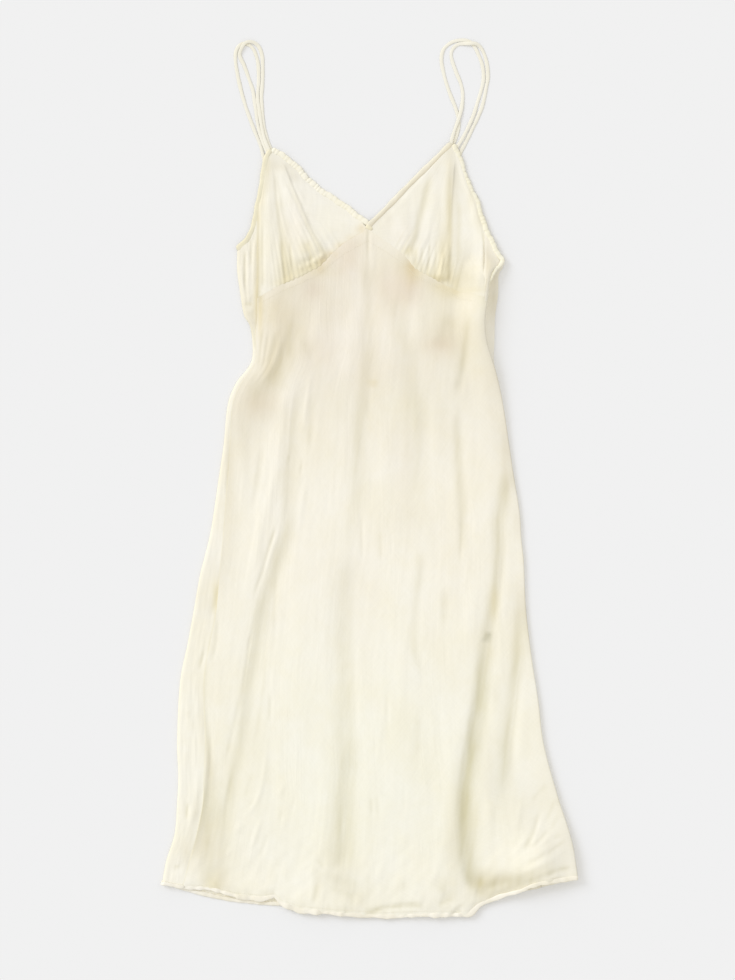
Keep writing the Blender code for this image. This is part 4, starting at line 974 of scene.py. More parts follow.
# marks of painted shade and painted highlight on the back panel's strips, as on the front
sideMarks = {
    "lemon": [(370, 790, 200, 170, 1.0)],
    "highlight": [(186, 780, 22, 110, 0.8), (232, 410, 6, 30, 0.3), (214.5, 598, 3, 12, 0.9)],
    "warmShadeAndStain": [
        (257, 300, 3.4, 30, 1.0), (246, 306, 9, 12, 0.35), (216, 598, 3.5, 18, 0.9),
        (258, 250, 4, 20, 0.5), (492, 268, 8, 14, 0.4),
    ],
    "shade": [
        (257, 290, 2.6, 40, 0.4), (229, 470, 3, 40, 0.8), (246, 300, 8, 26, 0.2), (253, 312, 5, 16, 0.5),
        (205, 600, 8, 16, 0.5), (187.7, 716, 2.2, 2.2, 0.9), (185, 850, 16, 16, 0.3),
        (202, 716, 3, 26, 0.7), (196, 812, 4, 12, 0.7), (191, 836, 4, 14, 0.7), (186, 858, 4, 12, 0.7),
        (188, 785, 9, 30, 0.35), (214, 568, 6, 14, 0.4), (251, 324, 5, 8, 0.8), (228, 460, 3, 56, 0.4),
        (494, 298, 5, 26, 1.4), (240, 250, 6, 14, 0.4), (243, 282, 6, 22, 0.3),
    ],
    "brownShade": [(256.6, 300, 2.2, 30, 0.2), (487, 264, 2.0, 24, 0.4)],
}


def backPoints():
    levels = levelsOf(backPanel["rows"])
    leftOutline, leftSeam, leftHeight = sideAt(leftSide, levels)
    rightOutline, rightSeam, rightHeight = sideAt(rightSide, levels)
    atFlap = nearness(levels, dress["topOfSides"], dress["flapReach"])
    atHem = nearness(levels, dress["sideHem"], dress["hemReach"])
    leftRound = np.minimum(backPanel["leftRound"], (leftSeam - leftOutline) * 0.6)
    columns = []

    def add(across, height, flapTop, hem):
        down = levels + (edgeAt(hem, across) - dress["sideHem"]) * atHem
        if flapTop is not None:
            down = down + (edgeAt(flapTop, across) - dress["topOfSides"]) * atFlap
        columns.append(np.stack([across, down, height], axis=-1))

    rightRound = rightOutline - rightSeam
    for out, drop in ((4.0, 0.8), (1.6, 0.3)):
        add(rightSeam - out, rightHeight - drop, rightFlapTop, frontHem)
    seen, middle, reach = backPanel["seenAtWaist"]
    seen = seen * np.exp(-(((levels - middle) / reach) ** 4))
    for angle in np.linspace(math.pi / 2, -math.pi / 2, backPanel["rightArc"] + 1):
        across = rightSeam + rightRound * max(math.cos(angle), 0.0) ** frontPanel["round"]
        across = across + seen * eased((-angle - 0.25) / 0.5)
        hemThere = frontHem if angle > backPanel["hemTurns"] else backHem
        add(across, onRound(rightHeight, angle), rightFlapTop, hemThere)
    for share in np.linspace(0.0, 1.0, backPanel["bottom"] + 1)[1:-1]:
        add(blend(rightSeam, leftOutline + leftRound, share), 0.0 * levels, None, backHem)
    for angle in np.linspace(-math.pi / 2, math.pi / 2, backPanel["leftArc"] + 1):
        across = leftOutline + leftRound * (1.0 - math.cos(angle))
        hemThere = backHem if angle < backPanel["hemTurns"] else frontHem
        add(across, onRound(leftHeight, angle), leftFlapTop, hemThere)
    for share in np.linspace(0.0, 1.0, backPanel["strip"] + 1)[1:]:
        add(blend(leftOutline + leftRound, leftSeam, share), leftHeight, leftFlapTop, frontHem)
    for out, drop in ((1.6, 0.3), (4.0, 0.8)):
        add(leftSeam + out, leftHeight - drop, leftFlapTop, frontHem)
    points = np.stack(columns, axis=1)
    across, down, height = points[..., 0], points[..., 1], points[..., 2]
    onTop = (height > 3.0) & (across < 0.0)
    fine = roughness(across, down, *backPanel["fine"]) + 0.6 * roughness(across, down, *backPanel["finer"])
    relief, paintedShade = reliefOf(sideFolds, across, down)
    relief = backPanel["relief"] * relief + backPanel["crinkle"] * fine
    toSeam = leftSeam[:, None] - across
    inner = eased((across - (leftOutline + 0.4 * leftRound)[:, None]) / 4.0) * eased(toSeam / 3.0)
    relief = np.where(onTop, relief * inner, 0.0)
    points[..., 2] = height + relief + cornerLift(across, down)
    # painted shade along the seam where the front panel's edge lies over the strip, and along the rounded
    # left edge that faces the light
    bySeam = np.where(onTop, 0.5 * (1 - eased(toSeam / 4.0)), 0.0)
    rimShade = 0.25 * np.where(across < 0.0, 1 - eased((across - leftOutline[:, None]) / 5.0), 0.0)
    paintedShade = np.where(onTop, paintedShade, 0.0) + (bySeam + rimShade)
    return points, tintOf(sideMarks, across, down, paintedShade, backPanel["shadeTone"])


backGrid, backTint = backPoints()
backCloth = clothPiece(
    "backPanelCloth", backGrid, (1250.0, 960.0), backTint, bodySilk, "body_cloth", "back_panel"
)

# The bindings' routes: across, down, height of the middle
bindings = {
    "neckLeft": {
        "route": [
            (-140.5, 157.5, 3.7), (-134, 161.5, 3.4), (-110, 179, 2.7), (-87, 203, 1.9),
            (-68, 218.5, 1.8), (-41, 236, 1.8), (-4.0, 264.6, 3.4),
        ],
        "halfWidth": 3.4, "wave": 0.7,
    },
    "neckRight": {
        "route": [
            (114, 149.8, 3.7), (108.8, 154.8, 3.4), (84, 179, 2.6), (50, 213, 1.6), (20, 243.5, 1.9),
            (-4.5, 268.0, 4.4),
        ],
        "halfWidth": 3.4, "wave": 0.0,
    },
    "armholeLeft": {
        "route": [
            (-142.5, 158.5, 4.2), (-148.5, 169, 3.5), (-153.5, 201, 3.2), (-160.3, 236, 3.2),
            (-165.5, 262, 3.4), (-175, 285, 3.7), (-190, 301, 3.4),
        ],
        "halfWidth": 2.8, "wave": 0.0,
    },
    "armholeRight": {
        "route": [
            (116.5, 151.5, 4.0), (123.2, 163, 3.0), (137.5, 205, 2.6), (150, 231, 2.8),
            (158.8, 259, 3.6), (164.8, 274, 4.2), (172, 290, 4.8), (180.8, 307, 5.6), (186, 317, 7.0),
            (182, 325, 9.6), (174.5, 333, 12.4), (169, 344, 14.2), (165.8, 360, 14.6),
            (163.2, 380, 14.2),
        ],
        "halfWidth": 3.2, "wave": 0.8,
    },
}

cups = {
    "cupLeft": {
        # strength of the painted shade between the gathers, and how full they puff
        "shadeBetweenGathers": 0.3, "plump": 0.8,
        "side": -1, "corner": (-6.5, 268.6), "floor": (-122, -100), "gathers": (-124, -60),
        "node": "cup_left", "seed": 3,
        "folds": [
            (((277, 163), (283.5, 180), (290, 196), (296.4, 211), (305.5, 232), (314, 247),
              (322.5, 260)), 13, 2.0, 3.0, 0.12, 0.0),
            (((282, 176), (293.5, 200), (303.5, 222), (315, 244), (324, 258)), 2.2, 4.2, -1.2, 0.15,
              0.0),
            (((273, 163), (276, 197), (280, 236), (283, 260), (285, 282)), 3.0, 8.0, -1.0, 0.2, 0.0),
            (((281, 236), (282.5, 262), (284, 282)), 1.7, 1.7, -0.6, 0.25, 0.0),
            (((289, 240), (290.5, 262), (291, 278)), 1.7, 1.7, -0.7, 0.25, 0.0),
            (((268, 186), (267, 230), (269, 272)), 5.5, 5.0, 1.2, 0.2, 0.2),
            (((296, 214), (300, 244), (302, 262)), 5.0, 5.0, 1.4, 0.3, 0.1),
            (((275, 178), (281, 215), (290, 250)), 2.0, 2.0, 0.7),
            (((262, 215), (261.5, 250), (262, 290)), 2.2, 2.2, -1.0, 0.3, 0.1),
            (((292, 182), (300, 196), (305, 206)), 2.2, 2.4, 0.8),
            (((306, 240), (311, 258)), 2.6, 2.4, -1.1, 0.3, 0.0),
            (((296, 262), (306, 259), (316, 253), (324, 246)), 3.0, 3.0, -0.5),
            (((299, 268), (303, 266)), 2.2, 2.2, 1.6),
            (((306, 266), (310, 263)), 2.2, 2.2, 1.6),
            (((313, 262), (317, 259)), 2.2, 2.2, 1.6),
            (((320, 257), (323, 254)), 2.2, 2.2, 1.6),
        ],
        # painted shade under the gathers, along the seam and beside the bindings, painted highlight on the
        # single layer
        "marks": {
            "highlight": [(330, 230, 22, 24, 0.35), (272, 232, 3, 12, 0.4)],
            "warmShadeAndStain": [
                (306, 266, 22, 9, 0.7), (284, 264, 7, 24, 0.5), (282, 283, 9, 5, 0.7),
                (292, 278, 9, 5, 0.8), (302, 272, 9, 5, 0.8), (312, 267, 8, 5, 0.8),
                (321, 262, 7, 5, 0.8), (307, 248, 9, 8, 0.8), (320, 252, 7, 9, 0.3),
                (258, 275, 2.6, 50, 1.0), (267, 168, 4, 16, 0.8), (262, 190, 4, 18, 0.8),
                (257, 212, 4, 18, 0.8),
            ],
            "brownShade": [
                (331, 254, 6, 4, 0.9), (324, 262, 5, 5, 0.7), (362, 227, 5, 4, 0.6),
                (341, 246, 7, 4, 0.8), (351, 238, 7, 4, 0.5), (360, 231, 6, 4, 0.4),
                (323, 258, 4, 6, 0.3),
            ],
            "shade": [
                (274, 165, 5, 14, 0.6), (284, 167, 8, 5, 0.9), (294, 177, 8, 5, 0.6),
                (272, 190, 4, 24, 0.3), (267, 235, 7, 50, 0.25), (258, 275, 1.8, 50, 0.5),
            ],
            "rose": [(296, 225, 14, 26, 0.3)],
        },
    },
    "cupRight": {
        # strength of the painted shade between the gathers, and how full they puff
        "shadeBetweenGathers": 0.6, "plump": 0.6,
        "side": 1, "corner": (-2.0, 270.6), "floor": (92, 70), "gathers": (52, 106),
        "node": "cup_right", "seed": 8,
        "folds": [
            (((449.5, 156), (447.4, 185), (446, 209), (445.6, 243), (443.6, 262), (442.2, 276)), 12,
              2.2, 3.0, 0.12, 0.0),
            (((450, 158), (449.4, 200), (448.6, 243), (447.4, 276)), 2.4, 3.0, -0.9, 0.2, 0.0),
            (((458, 195), (458.5, 225), (457, 268)), 2.6, 3.0, -0.6, 0.25, 0.2),
            (((431.5, 168), (425.5, 190), (418, 220), (413, 240), (405, 256)), 5.0, 4.0, -1.4, 0.2,
              0.1),
            (((436, 190), (429, 220), (424, 250)), 3.5, 3.5, 1.0),
            (((467, 200), (471, 235), (468, 270)), 7, 6, 1.6),
            (((398, 205), (400, 230), (398, 245)), 8, 8, 1.0),
            (((416, 246), (415, 268)), 1.3, 1.3, -0.6, 0.3, 0.0),
            (((422, 244), (420.5, 272)), 1.3, 1.3, -0.6, 0.3, 0.0),
            (((430, 235), (427, 274)), 1.5, 1.5, -0.8, 0.3, 0.0),
            (((437, 232), (434, 278)), 1.5, 1.5, -0.8, 0.3, 0.0),
            (((442.5, 250), (440, 279)), 1.5, 1.3, 1.8, 0.3, 0.0),
            (((409.5, 246), (412, 264)), 1.6, 1.4, 1.3, 0.3, 0.0),
            (((480, 225), (484, 245), (486, 270)), 2.0, 2.0, -0.9, 0.3, 0.2),
        ],
        # painted shade under the gathers, along the seam and beside the bindings, painted highlight on the
        # single layer
        "marks": {
            "highlight": [
                (470, 225, 16, 26, 0.2), (478, 235, 14, 40, 0.7), (428, 200, 14, 30, 0.4),
                (422, 186, 4, 8, 0.7), (465, 234, 7, 20, 0.5), (443.5, 272, 2, 6, 1.0),
            ],
            "warmShadeAndStain": [
                (443, 258, 6, 26, 1.0), (434, 279, 13, 4, 1.0), (408, 252, 8, 5, 0.7),
                (466, 291, 18, 4, 0.6), (449, 215, 3.4, 50, 0.9), (430, 272, 22, 8, 0.7),
                (413, 264, 8, 8, 0.7), (462, 278, 14, 14, 0.4), (455, 285, 7, 8, 0.7),
                (486.6, 265, 2.2, 24, 1.0), (472, 190, 4, 20, 0.6), (480, 212, 4, 20, 0.6),
            ],
            "shade": [
                (476, 280, 16, 20, 0.5), (425, 250, 20, 26, 0.15), (440, 205, 14, 40, 0.15),
                (468, 284, 16, 10, 0.4), (468, 262, 9, 16, 0.8), (432, 280, 14, 4, 1.4),
                (455, 175, 4, 16, 0.6), (457, 215, 3, 36, 0.4), (442, 250, 4, 12, 0.5),
                (388, 217, 5, 5, 0.6), (436, 170, 9, 9, 0.35), (418, 188, 9, 9, 0.35),
                (400, 206, 9, 9, 0.35), (382, 223, 9, 9, 0.35), (452, 175, 4, 30, 0.6),
                (486.4, 265, 2.0, 24, 1.5),
            ],
            "rose": [(400, 235, 20, 18, 0.25)],
        },
    },
}
cupShape = {
    "rows": 84, "acrossStep": 1.55, "pitch": 6.4, "gather": 1.25, "reach": 0.42, "fullness": 3.2,
    "edge": 4.15, "seam": 5.0, "underCup": 1.9, "tuck": 4.0, "tuckDrop": 1.4, "puff": 2.9, "wall": 1.5,
    "overSide": 0.8, "relief": 0.72,
    "tucked": 2.8,       # how far in under its bindings the silk goes
    "gatherPast": 18.0, "gatherFade": (26.0, 20.0), "firmness": 2.0, "clothSize": (170.0, 215.0),
    # colour of the painted shade in the cups' folds and between their gathers
    "fine": (6.0, 26.0, 2.2), "crinkle": 0.22, "shadeTone": (0.195, 0.235, 0.42),
}


def beside(route, offset):
    ahead = np.gradient(route[:, :2], axis=0)
    ahead /= np.linalg.norm(ahead, axis=1, keepdims=True)
    moved = route.copy()
    moved[:, 0] += offset * ahead[:, 1]
    moved[:, 1] -= offset * ahead[:, 0]
    return moved


def cupEdges(cup):
    neck, armhole = ("neckLeft", "armholeLeft") if cup["side"] < 0 else ("neckRight", "armholeRight")
    side = leftSide if cup["side"] < 0 else rightSide

    def edge(name, sign):
        binding = bindings[name]
        clear = binding["halfWidth"] + binding["wave"] + dress["gap"] - cupShape["tucked"]
        return beside(smoothRoute(binding["route"], 16), clear * sign * cup["side"])

    neckEdge = edge(neck, 1)
    neckEdge[:, 2] += 0.4
    neckEdge = np.vstack([neckEdge[:-2], [(*cup["corner"], cupShape["seam"])]])
    armholeEdge = edge(armhole, -1)
    seam = side[0, 2]
    kept = ((seam - armholeEdge[:, 0]) * cup["side"] > 1.0) & (armholeEdge[:, 1] < 280.0)
    armholeEdge = armholeEdge[kept]
    armholeEdge[:, 2] = cupShape["edge"]
    sideTop = armholeEdge[-1, 1] + 14.0
    rest = []
    for share in (0.0, 0.2, 0.4, 0.6, 0.8, 1.0):
        down = blend(sideTop, dress["empire"] - 0.6, share)
        seamAcross, height = sideAt(side, max(down, dress["topOfSides"]))[1:]
        rest.append((float(seamAcross) + cup["side"] * cupShape["overSide"], down, float(height) + 0.3))
    armholeEdge = np.vstack([armholeEdge, rest])
    return armholeEdge, neckEdge


def gathersOf(cup, bottom, v):
    # small folds that run up from the seam, each with its own width, height, reach and lean
    dice = random.Random(cup["seed"])
    gathers = np.zeros(v.shape)
    start, end = cup["gathers"]
    fadeFrom, fadeReach = cupShape["gatherFade"]
    place = start - cupShape["gatherPast"]
    while place < end + cupShape["gatherPast"]:
        width, size = dice.uniform(1.5, 2.6), dice.uniform(0.75, 1.3)
        reach, lean = cupShape["reach"] * dice.uniform(0.55, 1.3), dice.uniform(-4.0, 4.0)
        fade = eased((place - start + fadeFrom) / fadeReach) * eased((end + fadeFrom - place) / fadeReach)
        middle = place + lean * (1 - v) / reach
        along = eased((v - 1 + reach) / reach)
        gathers += size * float(fade) * along * np.exp(-((bottom - middle) / width) ** 2)
        place += cupShape["pitch"] * dice.uniform(0.75, 1.2)
    return gathers


def cupPoints(cup):
    armholeEdge, neckEdge = cupEdges(cup)
    corner = armholeEdge[-1]
    count = round(abs(corner[0] - cup["corner"][0]) / cupShape["acrossStep"])
    lowerAcross = np.linspace(corner[0], cup["corner"][0], count + 1)
    lower = np.stack([lowerAcross, edgeAt(empireEdge, lowerAcross) - 0.2, seamHeight(lowerAcross)], axis=1)
    lower[0], lower[-1] = corner, neckEdge[-1]
    rows = cupShape["rows"]
    sideEdge, neckEdge = smoothRoute(armholeEdge, rows + 1), smoothRoute(neckEdge, rows + 1)
    u = ((lower[:, 0] - lower[0, 0]) / (lower[-1, 0] - lower[0, 0]))[None, :, None]
    v = np.linspace(0.0, 1.0, rows + 1)[:, None, None]
    points = v * lower[None] + (1 - u) * sideEdge[:, None] + u * neckEdge[:, None]
    points = points - v * blend(lower[0], lower[-1], u)
    across, down, height = points[..., 0].copy(), points[..., 1].copy(), points[..., 2].copy()
    u, v = u[..., 0] + 0 * v[..., 0], v[..., 0] + 0 * u[..., 0]
    relief = cupShape["fullness"] * (4 * u * (1 - u)) ** 0.7 * eased(v / 0.62) * eased((1 - v) / 0.16)
    folds, paintedShade = reliefOf(cup["folds"], across, down)
    folds = cupShape["relief"] * folds * eased((1 - v) / 0.035)
    gathers = gathersOf(cup, lower[None, :, 0] + 0 * v, v)
    window = eased(np.minimum(u, 1 - u) / 0.06)
    acrossSize, downSize, seed = cupShape["fine"]
    fine = roughness(across, down, acrossSize, downSize, seed + cup["seed"]) * cupShape["crinkle"]
    gathered = cupShape["gather"] * cup["plump"] * gathers * window * eased((1 - v) / 0.012 + 0.7)
    height = height + ((relief + folds + fine) * window + gathered)
    floorFrom, floorTo = cup["floor"]
    onStraps = eased((across - floorTo) / (floorFrom - floorTo))
    onBack = eased((down - dress["topOfSides"] + 26.0) / 20.0)
    least = cupShape["underCup"] * np.maximum(onStraps, onBack) + cupShape["wall"]
    height = np.maximum(height, heldAbove(least, height, cupShape["firmness"]) * window)
    # the lower edge goes in under the front panel, or rolls over its top edge where it is gathered
    rolls = gatheredAt(across[-1])
    puff = cupShape["puff"] * (0.35 + np.clip(gathers[-1], 0.0, 1.2))
    tuckRows = []
    for t in np.linspace(0.0, 1.0, 7)[1:]:
        under = (cupShape["tuck"] * t, -cupShape["tuckDrop"] * t)
        rolled = (puff * math.sin(2.6 * t), -0.5 * puff * (1.0 - math.cos(2.6 * t)))
        tuckRows.append(np.stack([
            across[-1], down[-1] + blend(under[0], rolled[0], rolls),
            height[-1] + blend(under[1], rolled[1], rolls),
        ], axis=-1))
    points = np.concatenate([np.stack([across, down, height], axis=-1), np.stack(tuckRows)])
    # painted shade in the valleys between the gathers near the seam; the folds' painted shade is made uneven
    # by the crinkles
    shadeBetweenGathers = cup["shadeBetweenGathers"] * np.clip(0.62 - gathers, 0.0, 0.62) * eased((v - 0.76) / 0.2)
    paintedShade = 0.9 * paintedShade * (1.0 + 1.2 * fine) + shadeBetweenGathers * (gathers.max(axis=0) > 0.3)[None, :]
    tint = tintOf(cup["marks"], across, down, paintedShade, cupShape["shadeTone"])
    tint = np.concatenate([tint, np.repeat(tint[-1:], len(tuckRows), axis=0)])
    points, tint = points[::-1], tint[::-1]  # rows run up the dress
    if cup["side"] > 0:
        points, tint = points[:, ::-1], tint[:, ::-1]
    return points, tint


for name, cup in cups.items():
    grid, tint = cupPoints(cup)
    clothPiece(
        name + "Cloth", grid, cupShape["clothSize"], tint, cupSilk, "cup_cloth", cup["node"],
    )


def puffAt(run, pitch, seed):
    # from 0 where a stitch pinches the edge to 1 on the puff between two
    phase = run / pitch + 0.3 * math.sin(run * 0.13 + seed) + 0.16 * math.sin(run * 0.41 + 3.0 * seed)
    return abs(math.sin(math.pi * phase)) ** 0.55


def unevenAt(run, size, seed):
    return noise.noise((run / size, seed, 0.5))


def shellShape(pitch, pinch, sway, seed, fadeFrom, fadeTo, taper=0.0):
    def shape(run, length):
        strength = blend(1.0, 0.35, float(eased((run / length - fadeFrom) / (fadeTo - fadeFrom + 1e-6))))
        strength *= 0.75 + 0.35 * math.sin(run * 0.083 + 2.0 * seed)
        size = 1.0 - pinch * strength * (1.0 - puffAt(run, pitch, seed))
        bend = sway * math.sin(run * 0.21 + seed) + 0.5 * sway * math.sin(run * 0.57 + 2 * seed)
        slim = 1.0 - taper * float(eased((run / length - 0.62) / 0.38))
        return size * 1.06 * slim, (0.55 + 0.6 * size) * slim, bend, 0.25 * (size - 0.7)
    return shape


# painted shade where a stitch pinches the edge and painted highlight on the puffs between
def puffTint(pitch, seed, pinchShade=(0.955, 0.935, 0.86), puffHighlight=(1.01, 1.005, 0.975)):
    def tint(run, length):
        puff = puffAt(run, pitch, seed)
        return np.array(pinchShade) * (1 - puff) + np.array(puffHighlight) * puff
    return tint


def rolledShape(seed, uneven, lift=0.0):
    def shape(run, length):
        wobble = math.sin(run * 0.11 + seed) + 0.6 * math.sin(run * 0.29 + 2.3 * seed)
        return 1.0 + uneven * wobble, 1.0 - 0.6 * uneven * wobble, 0.2 * math.sin(run * 0.07 + seed), lift
    return shape


def plainTint(*value):
    return lambda run, length: np.array(value)


def shadedOnOneSide(right, left, sides):
    # a tint on the right side of the way that the tube runs and another on its left, one painted darker than
    # the other as shade on one side of the roll; the patches are uneven tone along it
    across = np.cos(-2.0 * np.pi * np.arange(sides + 1) / sides)
    share = eased((0.35 - across) / 0.9)[:, None]

    def tint(run, length):
        patch = 1.0 + 0.035 * unevenAt(run, 14.0, 3.0) + 0.03 * unevenAt(run, 5.0, 6.0)
        return blend(np.array(right), np.array(left), share) * patch
    return tint


def bindingRoute(name, step):
    route = bindings[name]["route"]
    return smoothRoute(route, max(round(routeLength(route) / step), 12))


neckLeft = tubePiece(
    "neckBindingLeftShell", bindingRoute("neckLeft", 0.75), 4.0, 1.4, 16, bindingSilk, "binding",
    "neck_binding_left", shape=shellShape(6.5, 0.42, 0.6, 1.0, 0.5, 0.75), tint=puffTint(6.5, 1.0),
)
neckRight = tubePiece(
    "neckBindingRightRoll", bindingRoute("neckRight", 1.6), 3.8, 1.25, 14, bindingSilk, "binding",
    "neck_binding_right", shape=rolledShape(2.0, 0.1),
    tint=shadedOnOneSide((0.87, 0.85, 0.80), (0.865, 0.82, 0.735), 14),
)
tubePiece(
    "neckKnot", smoothRoute([(-7.0, 266.4, 4.6), (-3.5, 268.6, 5.1), (2.0, 271.8, 4.9)], 12), 2.6, 0.9, 14,
    bindingSilk, "binding", shape=rolledShape(1.0, 0.16), tint=plainTint(0.90, 0.865, 0.75),
)
armholeLeft = tubePiece(
    "armholeBindingLeftRoll", bindingRoute("armholeLeft", 2.0), 4.1, 1.4, 14, bindingSilk, "binding",
    "armhole_binding_left", shape=rolledShape(4.0, 0.12),
    tint=shadedOnOneSide((0.86, 0.83, 0.71), (0.91, 0.89, 0.79), 14),
)
armholeRight = tubePiece(
    "armholeBindingRightFrill", bindingRoute("armholeRight", 0.7), 3.4, 1.2, 16, bindingSilk, "binding",
    "armhole_binding_right", shape=shellShape(6.9, 0.3, 0.6, 5.0, 0.55, 0.75, 0.75),
    tint=puffTint(6.9, 5.0, (0.94, 0.925, 0.83), (0.99, 0.985, 0.93)),
)

# The straps, each from the top edge of the back, over the shoulder and down to a cup's point
straps = {
    "strapLeftOuter": ("strap_left_outer", [
        (-147, 303, 0.8), (-147, 240, 0.8), (-148, 200, 0.8), (-151, 178, 0.8), (-157, 152, 0.8),
        (-166, 130, 0.8), (-177, 101, 0.8), (-186, 68, 0.8), (-192, 38, 0.8), (-193, 24, 0.8),
        (-190.3, 14, 0.8), (-184, 8, 0.8), (-176.5, 8, 0.8), (-169, 13, 0.8), (-164, 22.7, 0.8),
        (-160.5, 37, 0.8), (-159.6, 61, 0.8), (-161, 82, 1.0), (-159.5, 98, 1.2), (-155.5, 126, 1.8),
        (-149.5, 147.7, 2.2), (-142.5, 163.6, 2.9),
    ]),
    "strapLeftInner": ("strap_left_inner", [
        (-137, 303, 0.8), (-137, 240, 0.8), (-136.5, 200, 0.8), (-136, 178, 0.8), (-140.5, 161, 0.8),
        (-146.0, 147.7, 0.8), (-152.5, 126, 0.8), (-154.8, 98, 0.8), (-155.6, 82, 0.8),
        (-154.2, 61, 0.8), (-154.2, 37, 0.8), (-155.8, 21.3, 0.8), (-160.5, 10.6, 1.1), (-169, 5, 2.3),
        (-177.5, 5.7, 2.8), (-183.9, 13.5, 2.8), (-186.7, 24, 1.6), (-180, 39, 0.9), (-173.2, 58, 0.8),
        (-168.1, 74, 0.8), (-164.5, 98, 1.0), (-160, 126, 1.2), (-153.5, 147.7, 1.7), (-146.5, 165, 2.7),
    ]),
    "strapRightOuter": ("strap_right_outer", [
        (111, 303, 0.8), (110.5, 240, 0.8), (110, 200, 0.8), (110.5, 175, 0.8), (114, 157, 0.8),
        (119.0, 144, 0.8), (122.0, 136, 0.8), (125.0, 122, 0.8), (123.5, 111, 0.8), (120.5, 99, 0.8),
        (113.5, 82, 0.8), (106, 61, 0.8), (101, 40, 0.8), (100, 28, 0.8), (103, 16, 0.8),
        (111.5, 7.5, 0.8), (121, 3.4, 0.8), (132, 2.4, 0.8), (140, 4.6, 0.8), (146.5, 10.5, 0.8),
        (151.5, 20, 0.8), (157.5, 36, 0.8), (159.8, 55.4, 0.8), (157, 72, 0.8), (151.3, 91.5, 0.8),
        (146, 108.5, 1.2), (137, 128.3, 2.0), (127.5, 146, 2.4), (119, 159.6, 2.9),
    ]),
    "strapRightInner": ("strap_right_inner", [
        (126, 303, 0.8), (126, 240, 0.8), (125.5, 200, 0.8), (125, 175, 0.8), (127.5, 161, 0.8),
        (133.5, 149.5, 0.8), (142.5, 132, 0.8), (152, 112, 0.8), (158.5, 94.3, 0.8), (163, 73, 0.8),
        (166, 55.4, 0.8), (164.8, 36, 0.8), (160.5, 21, 0.8), (154.5, 11.5, 1.6), (148, 7.5, 2.8),
        (140.5, 7.4, 2.8), (133, 7.5, 1.6), (125, 8.3, 0.8), (118, 12.5, 0.8), (114, 20, 0.8),
        (114.5, 29.5, 0.8), (120.3, 47, 0.8), (127.5, 64, 0.8), (130.5, 79, 0.8), (129.4, 95, 1.3),
        (125.6, 111, 2.2), (119.5, 128, 2.2), (115.2, 142, 2.6), (113, 155, 3.0),
    ]),
}
strapSize = {"halfWidth": 2.4, "halfHeight": 0.36, "step": 2.2, "sides": 12}
strapPieces = []
for i, (name, (nodeName, route)) in enumerate(straps.items()):
    line = smoothRoute(route, round(routeLength(route) / strapSize["step"]))
    strapPieces.append(tubePiece(
        name + "Rouleau", line, strapSize["halfWidth"], strapSize["halfHeight"], strapSize["sides"],
        strapSilk, "strap", nodeName, shape=rolledShape(1.3 * i, 0.08, -0.38),
        tint=plainTint(0.935, 0.925, 0.89),
    ))

# A narrow rolled edge along the hem of both panels
hem = {"halfWidth": 3.0, "halfHeight": 1.0, "step": 1.4, "back": 1.9}


def crumpledShape(seed, uneven):
    def shape(run, length):
        coarse, fine = unevenAt(run, 24.0, seed), unevenAt(run, 9.0, seed + 4.0)
        wider, higher = 1.0 + uneven * (coarse + fine), 1.0 + 0.5 * uneven * fine
        return wider, higher, 1.2 * coarse + 0.6 * fine, 0.7 * fine
    return shape


def hemTint(seed):
    def tint(run, length):
        patch = 0.5 + 0.9 * unevenAt(run, 26.0, seed + 7.0) + 0.7 * unevenAt(run, 8.0, seed + 9.0)
        return blend(np.array([0.95, 0.945, 0.925]), np.array([0.99, 0.99, 1.0]), float(eased(patch)))
    return tint


def hemRoute(row, lift):
    points = row.copy()
    points[:, 1] -= hem["back"]
    points[:, 2] += lift
    return smoothRoute(points[::3], round(routeLength(points) / hem["step"]))


frontHemRoll = tubePiece(
    "hemRollFront", hemRoute(frontGrid[0], -0.35), hem["halfWidth"], hem["halfHeight"], 12, bodySilk,
    "body_cloth", shape=crumpledShape(2.0, 0.4), tint=hemTint(1.0), flat=0.6,
)
backHemRoll = tubePiece(
    "hemRollBack", hemRoute(backGrid[0, 16:], 1.2), hem["halfWidth"], 0.8, 10, bodySilk, "body_cloth",
    shape=crumpledShape(6.0, 0.3), tint=hemTint(4.0), flat=0.6,
)

# Stitches along the hem and the seam under the cups
stitch = {"long": 1.7, "thick": 0.45, "pitch": 2.9, "sides": 6}


def stitchLine(name, row):
    # one small bar of thread, copied along a row of the cloth
    count = round(routeLength(row) / stitch["pitch"])
    places = placed(smoothRoute(row, count))
    copies = []
    for before, place, after in zip(places, places[1:], places[2:]):
        bpy.ops.mesh.primitive_cylinder_add(
            vertices=stitch["sides"], radius=stitch["thick"] / 2 * mm, depth=stitch["long"] * mm
        )
        copies.append(bpy.context.object)
        stance = Vector(after - before).to_track_quat("Z", "Y").to_matrix().to_4x4()
        stance.translation = Vector(place)
        copies[-1].data.transform(stance)
    bpy.ops.object.select_all(action="DESELECT")
    for obj in copies:
        obj.select_set(True)
    bpy.context.view_layer.objects.active = copies[0]
    bpy.ops.object.join()
    copies[0].name = copies[0].data.name = name
    copies[0].data.uv_layers[0].name = "clothMap"
    colour = copies[0].data.color_attributes.new("tint", "FLOAT_COLOR", "POINT")
    colour.data.foreach_set("color", np.ones(4 * len(copies[0].data.vertices)))
    return finished(copies[0], thread, "body_cloth")


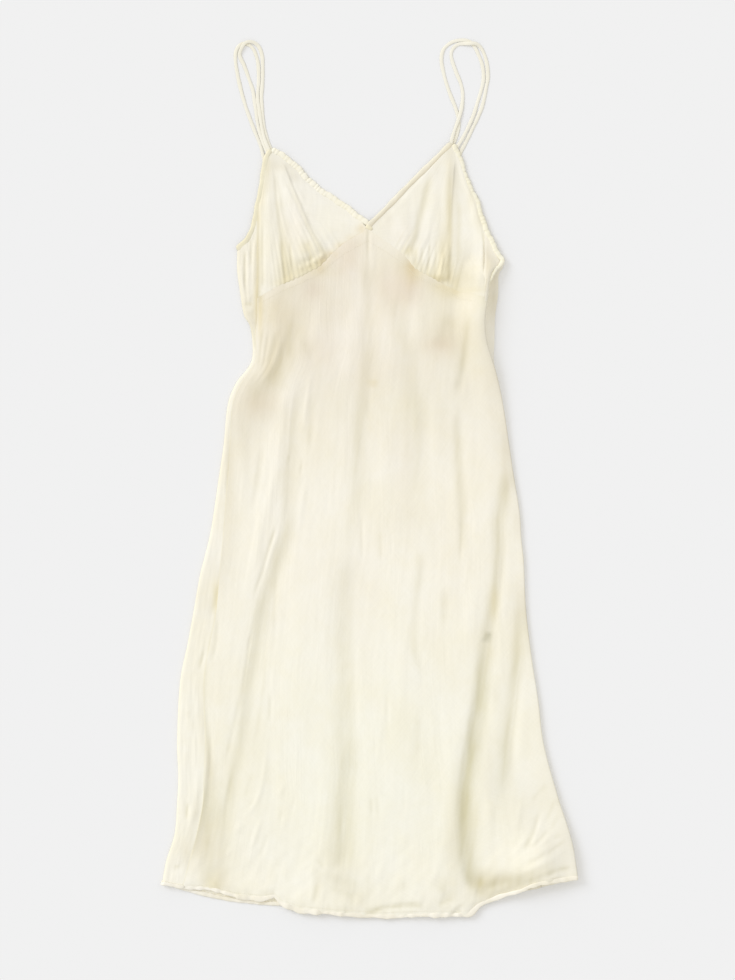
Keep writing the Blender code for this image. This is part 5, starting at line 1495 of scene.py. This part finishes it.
hemStitches = stitchLine("hemStitches", frontGrid[2, 3:-12] + [0.0, 0.0, 0.1])
seamStitches = stitchLine("seamStitches", frontGrid[-4, 3:-14] + [0.0, 0.0, 0.1])

# Floor, light and camera
bpy.ops.mesh.primitive_plane_add(size=14.0, location=(0.0, 0.0, -0.0003))
floor = bpy.context.object
floor.name = "floor"
paper = bpy.data.materials.new("paleFloor")
paper.use_nodes = True
paperLook = {"Base Color": (0.80, 0.80, 0.80, 1.0), "Roughness": 0.9, "Specular IOR Level": 0.0}
for label, value in paperLook.items():
    paper.node_tree.nodes["Principled BSDF"].inputs[label].default_value = value
floor.data.materials.append(paper)

scene = bpy.context.scene
scene.view_settings.view_transform = "Standard"
world = bpy.data.worlds.new("studio")
scene.world = world
world.use_nodes = True
world.node_tree.nodes["Background"].inputs["Color"].default_value = (1.0, 1.0, 1.0, 1.0)
world.node_tree.nodes["Background"].inputs["Strength"].default_value = light["fill"]

# thin silk lets warm light through: a share of the lamp throws no shadow, and both together are white
soft = light["throughSilk"]
direct = [(1.0 - soft * warmed) / (1.0 - soft) for warmed in light["warmed"]]
for name, share, colour in (("softSun", 1.0 - soft, direct), ("sunThroughSilk", soft, light["warmed"])):
    bpy.ops.object.light_add(type="SUN", location=(-1.5, 1.2, 2.0))
    sun = bpy.context.object
    sun.name = name
    sun.data.energy = light["sun"] * share
    sun.data.angle = math.radians(light["sunSoftness"])
    sun.data.color = colour
    sun.data.use_shadow = name == "softSun"
    sun.rotation_euler = Vector((light["toRight"], -light["toHem"], -1.0)).to_track_quat("-Z", "Y").to_euler()

bpy.ops.object.camera_add()
eye = bpy.context.object
eye.name = "camera"
eye.data.lens = camera["lens"]
distance = camera["view"] * mm * camera["lens"] / eye.data.sensor_width
eye.location = (camera["across"] * mm, (dress["length"] / 2 - camera["down"]) * mm, distance + 0.004)
eye.rotation_euler = (0.0, 0.0, 0.0)
eye.data.dof.use_dof = False
eye.data.clip_end = 50.0
scene.camera = eye
print("light and camera ready")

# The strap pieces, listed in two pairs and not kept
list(strapPieces[:2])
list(strapPieces[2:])
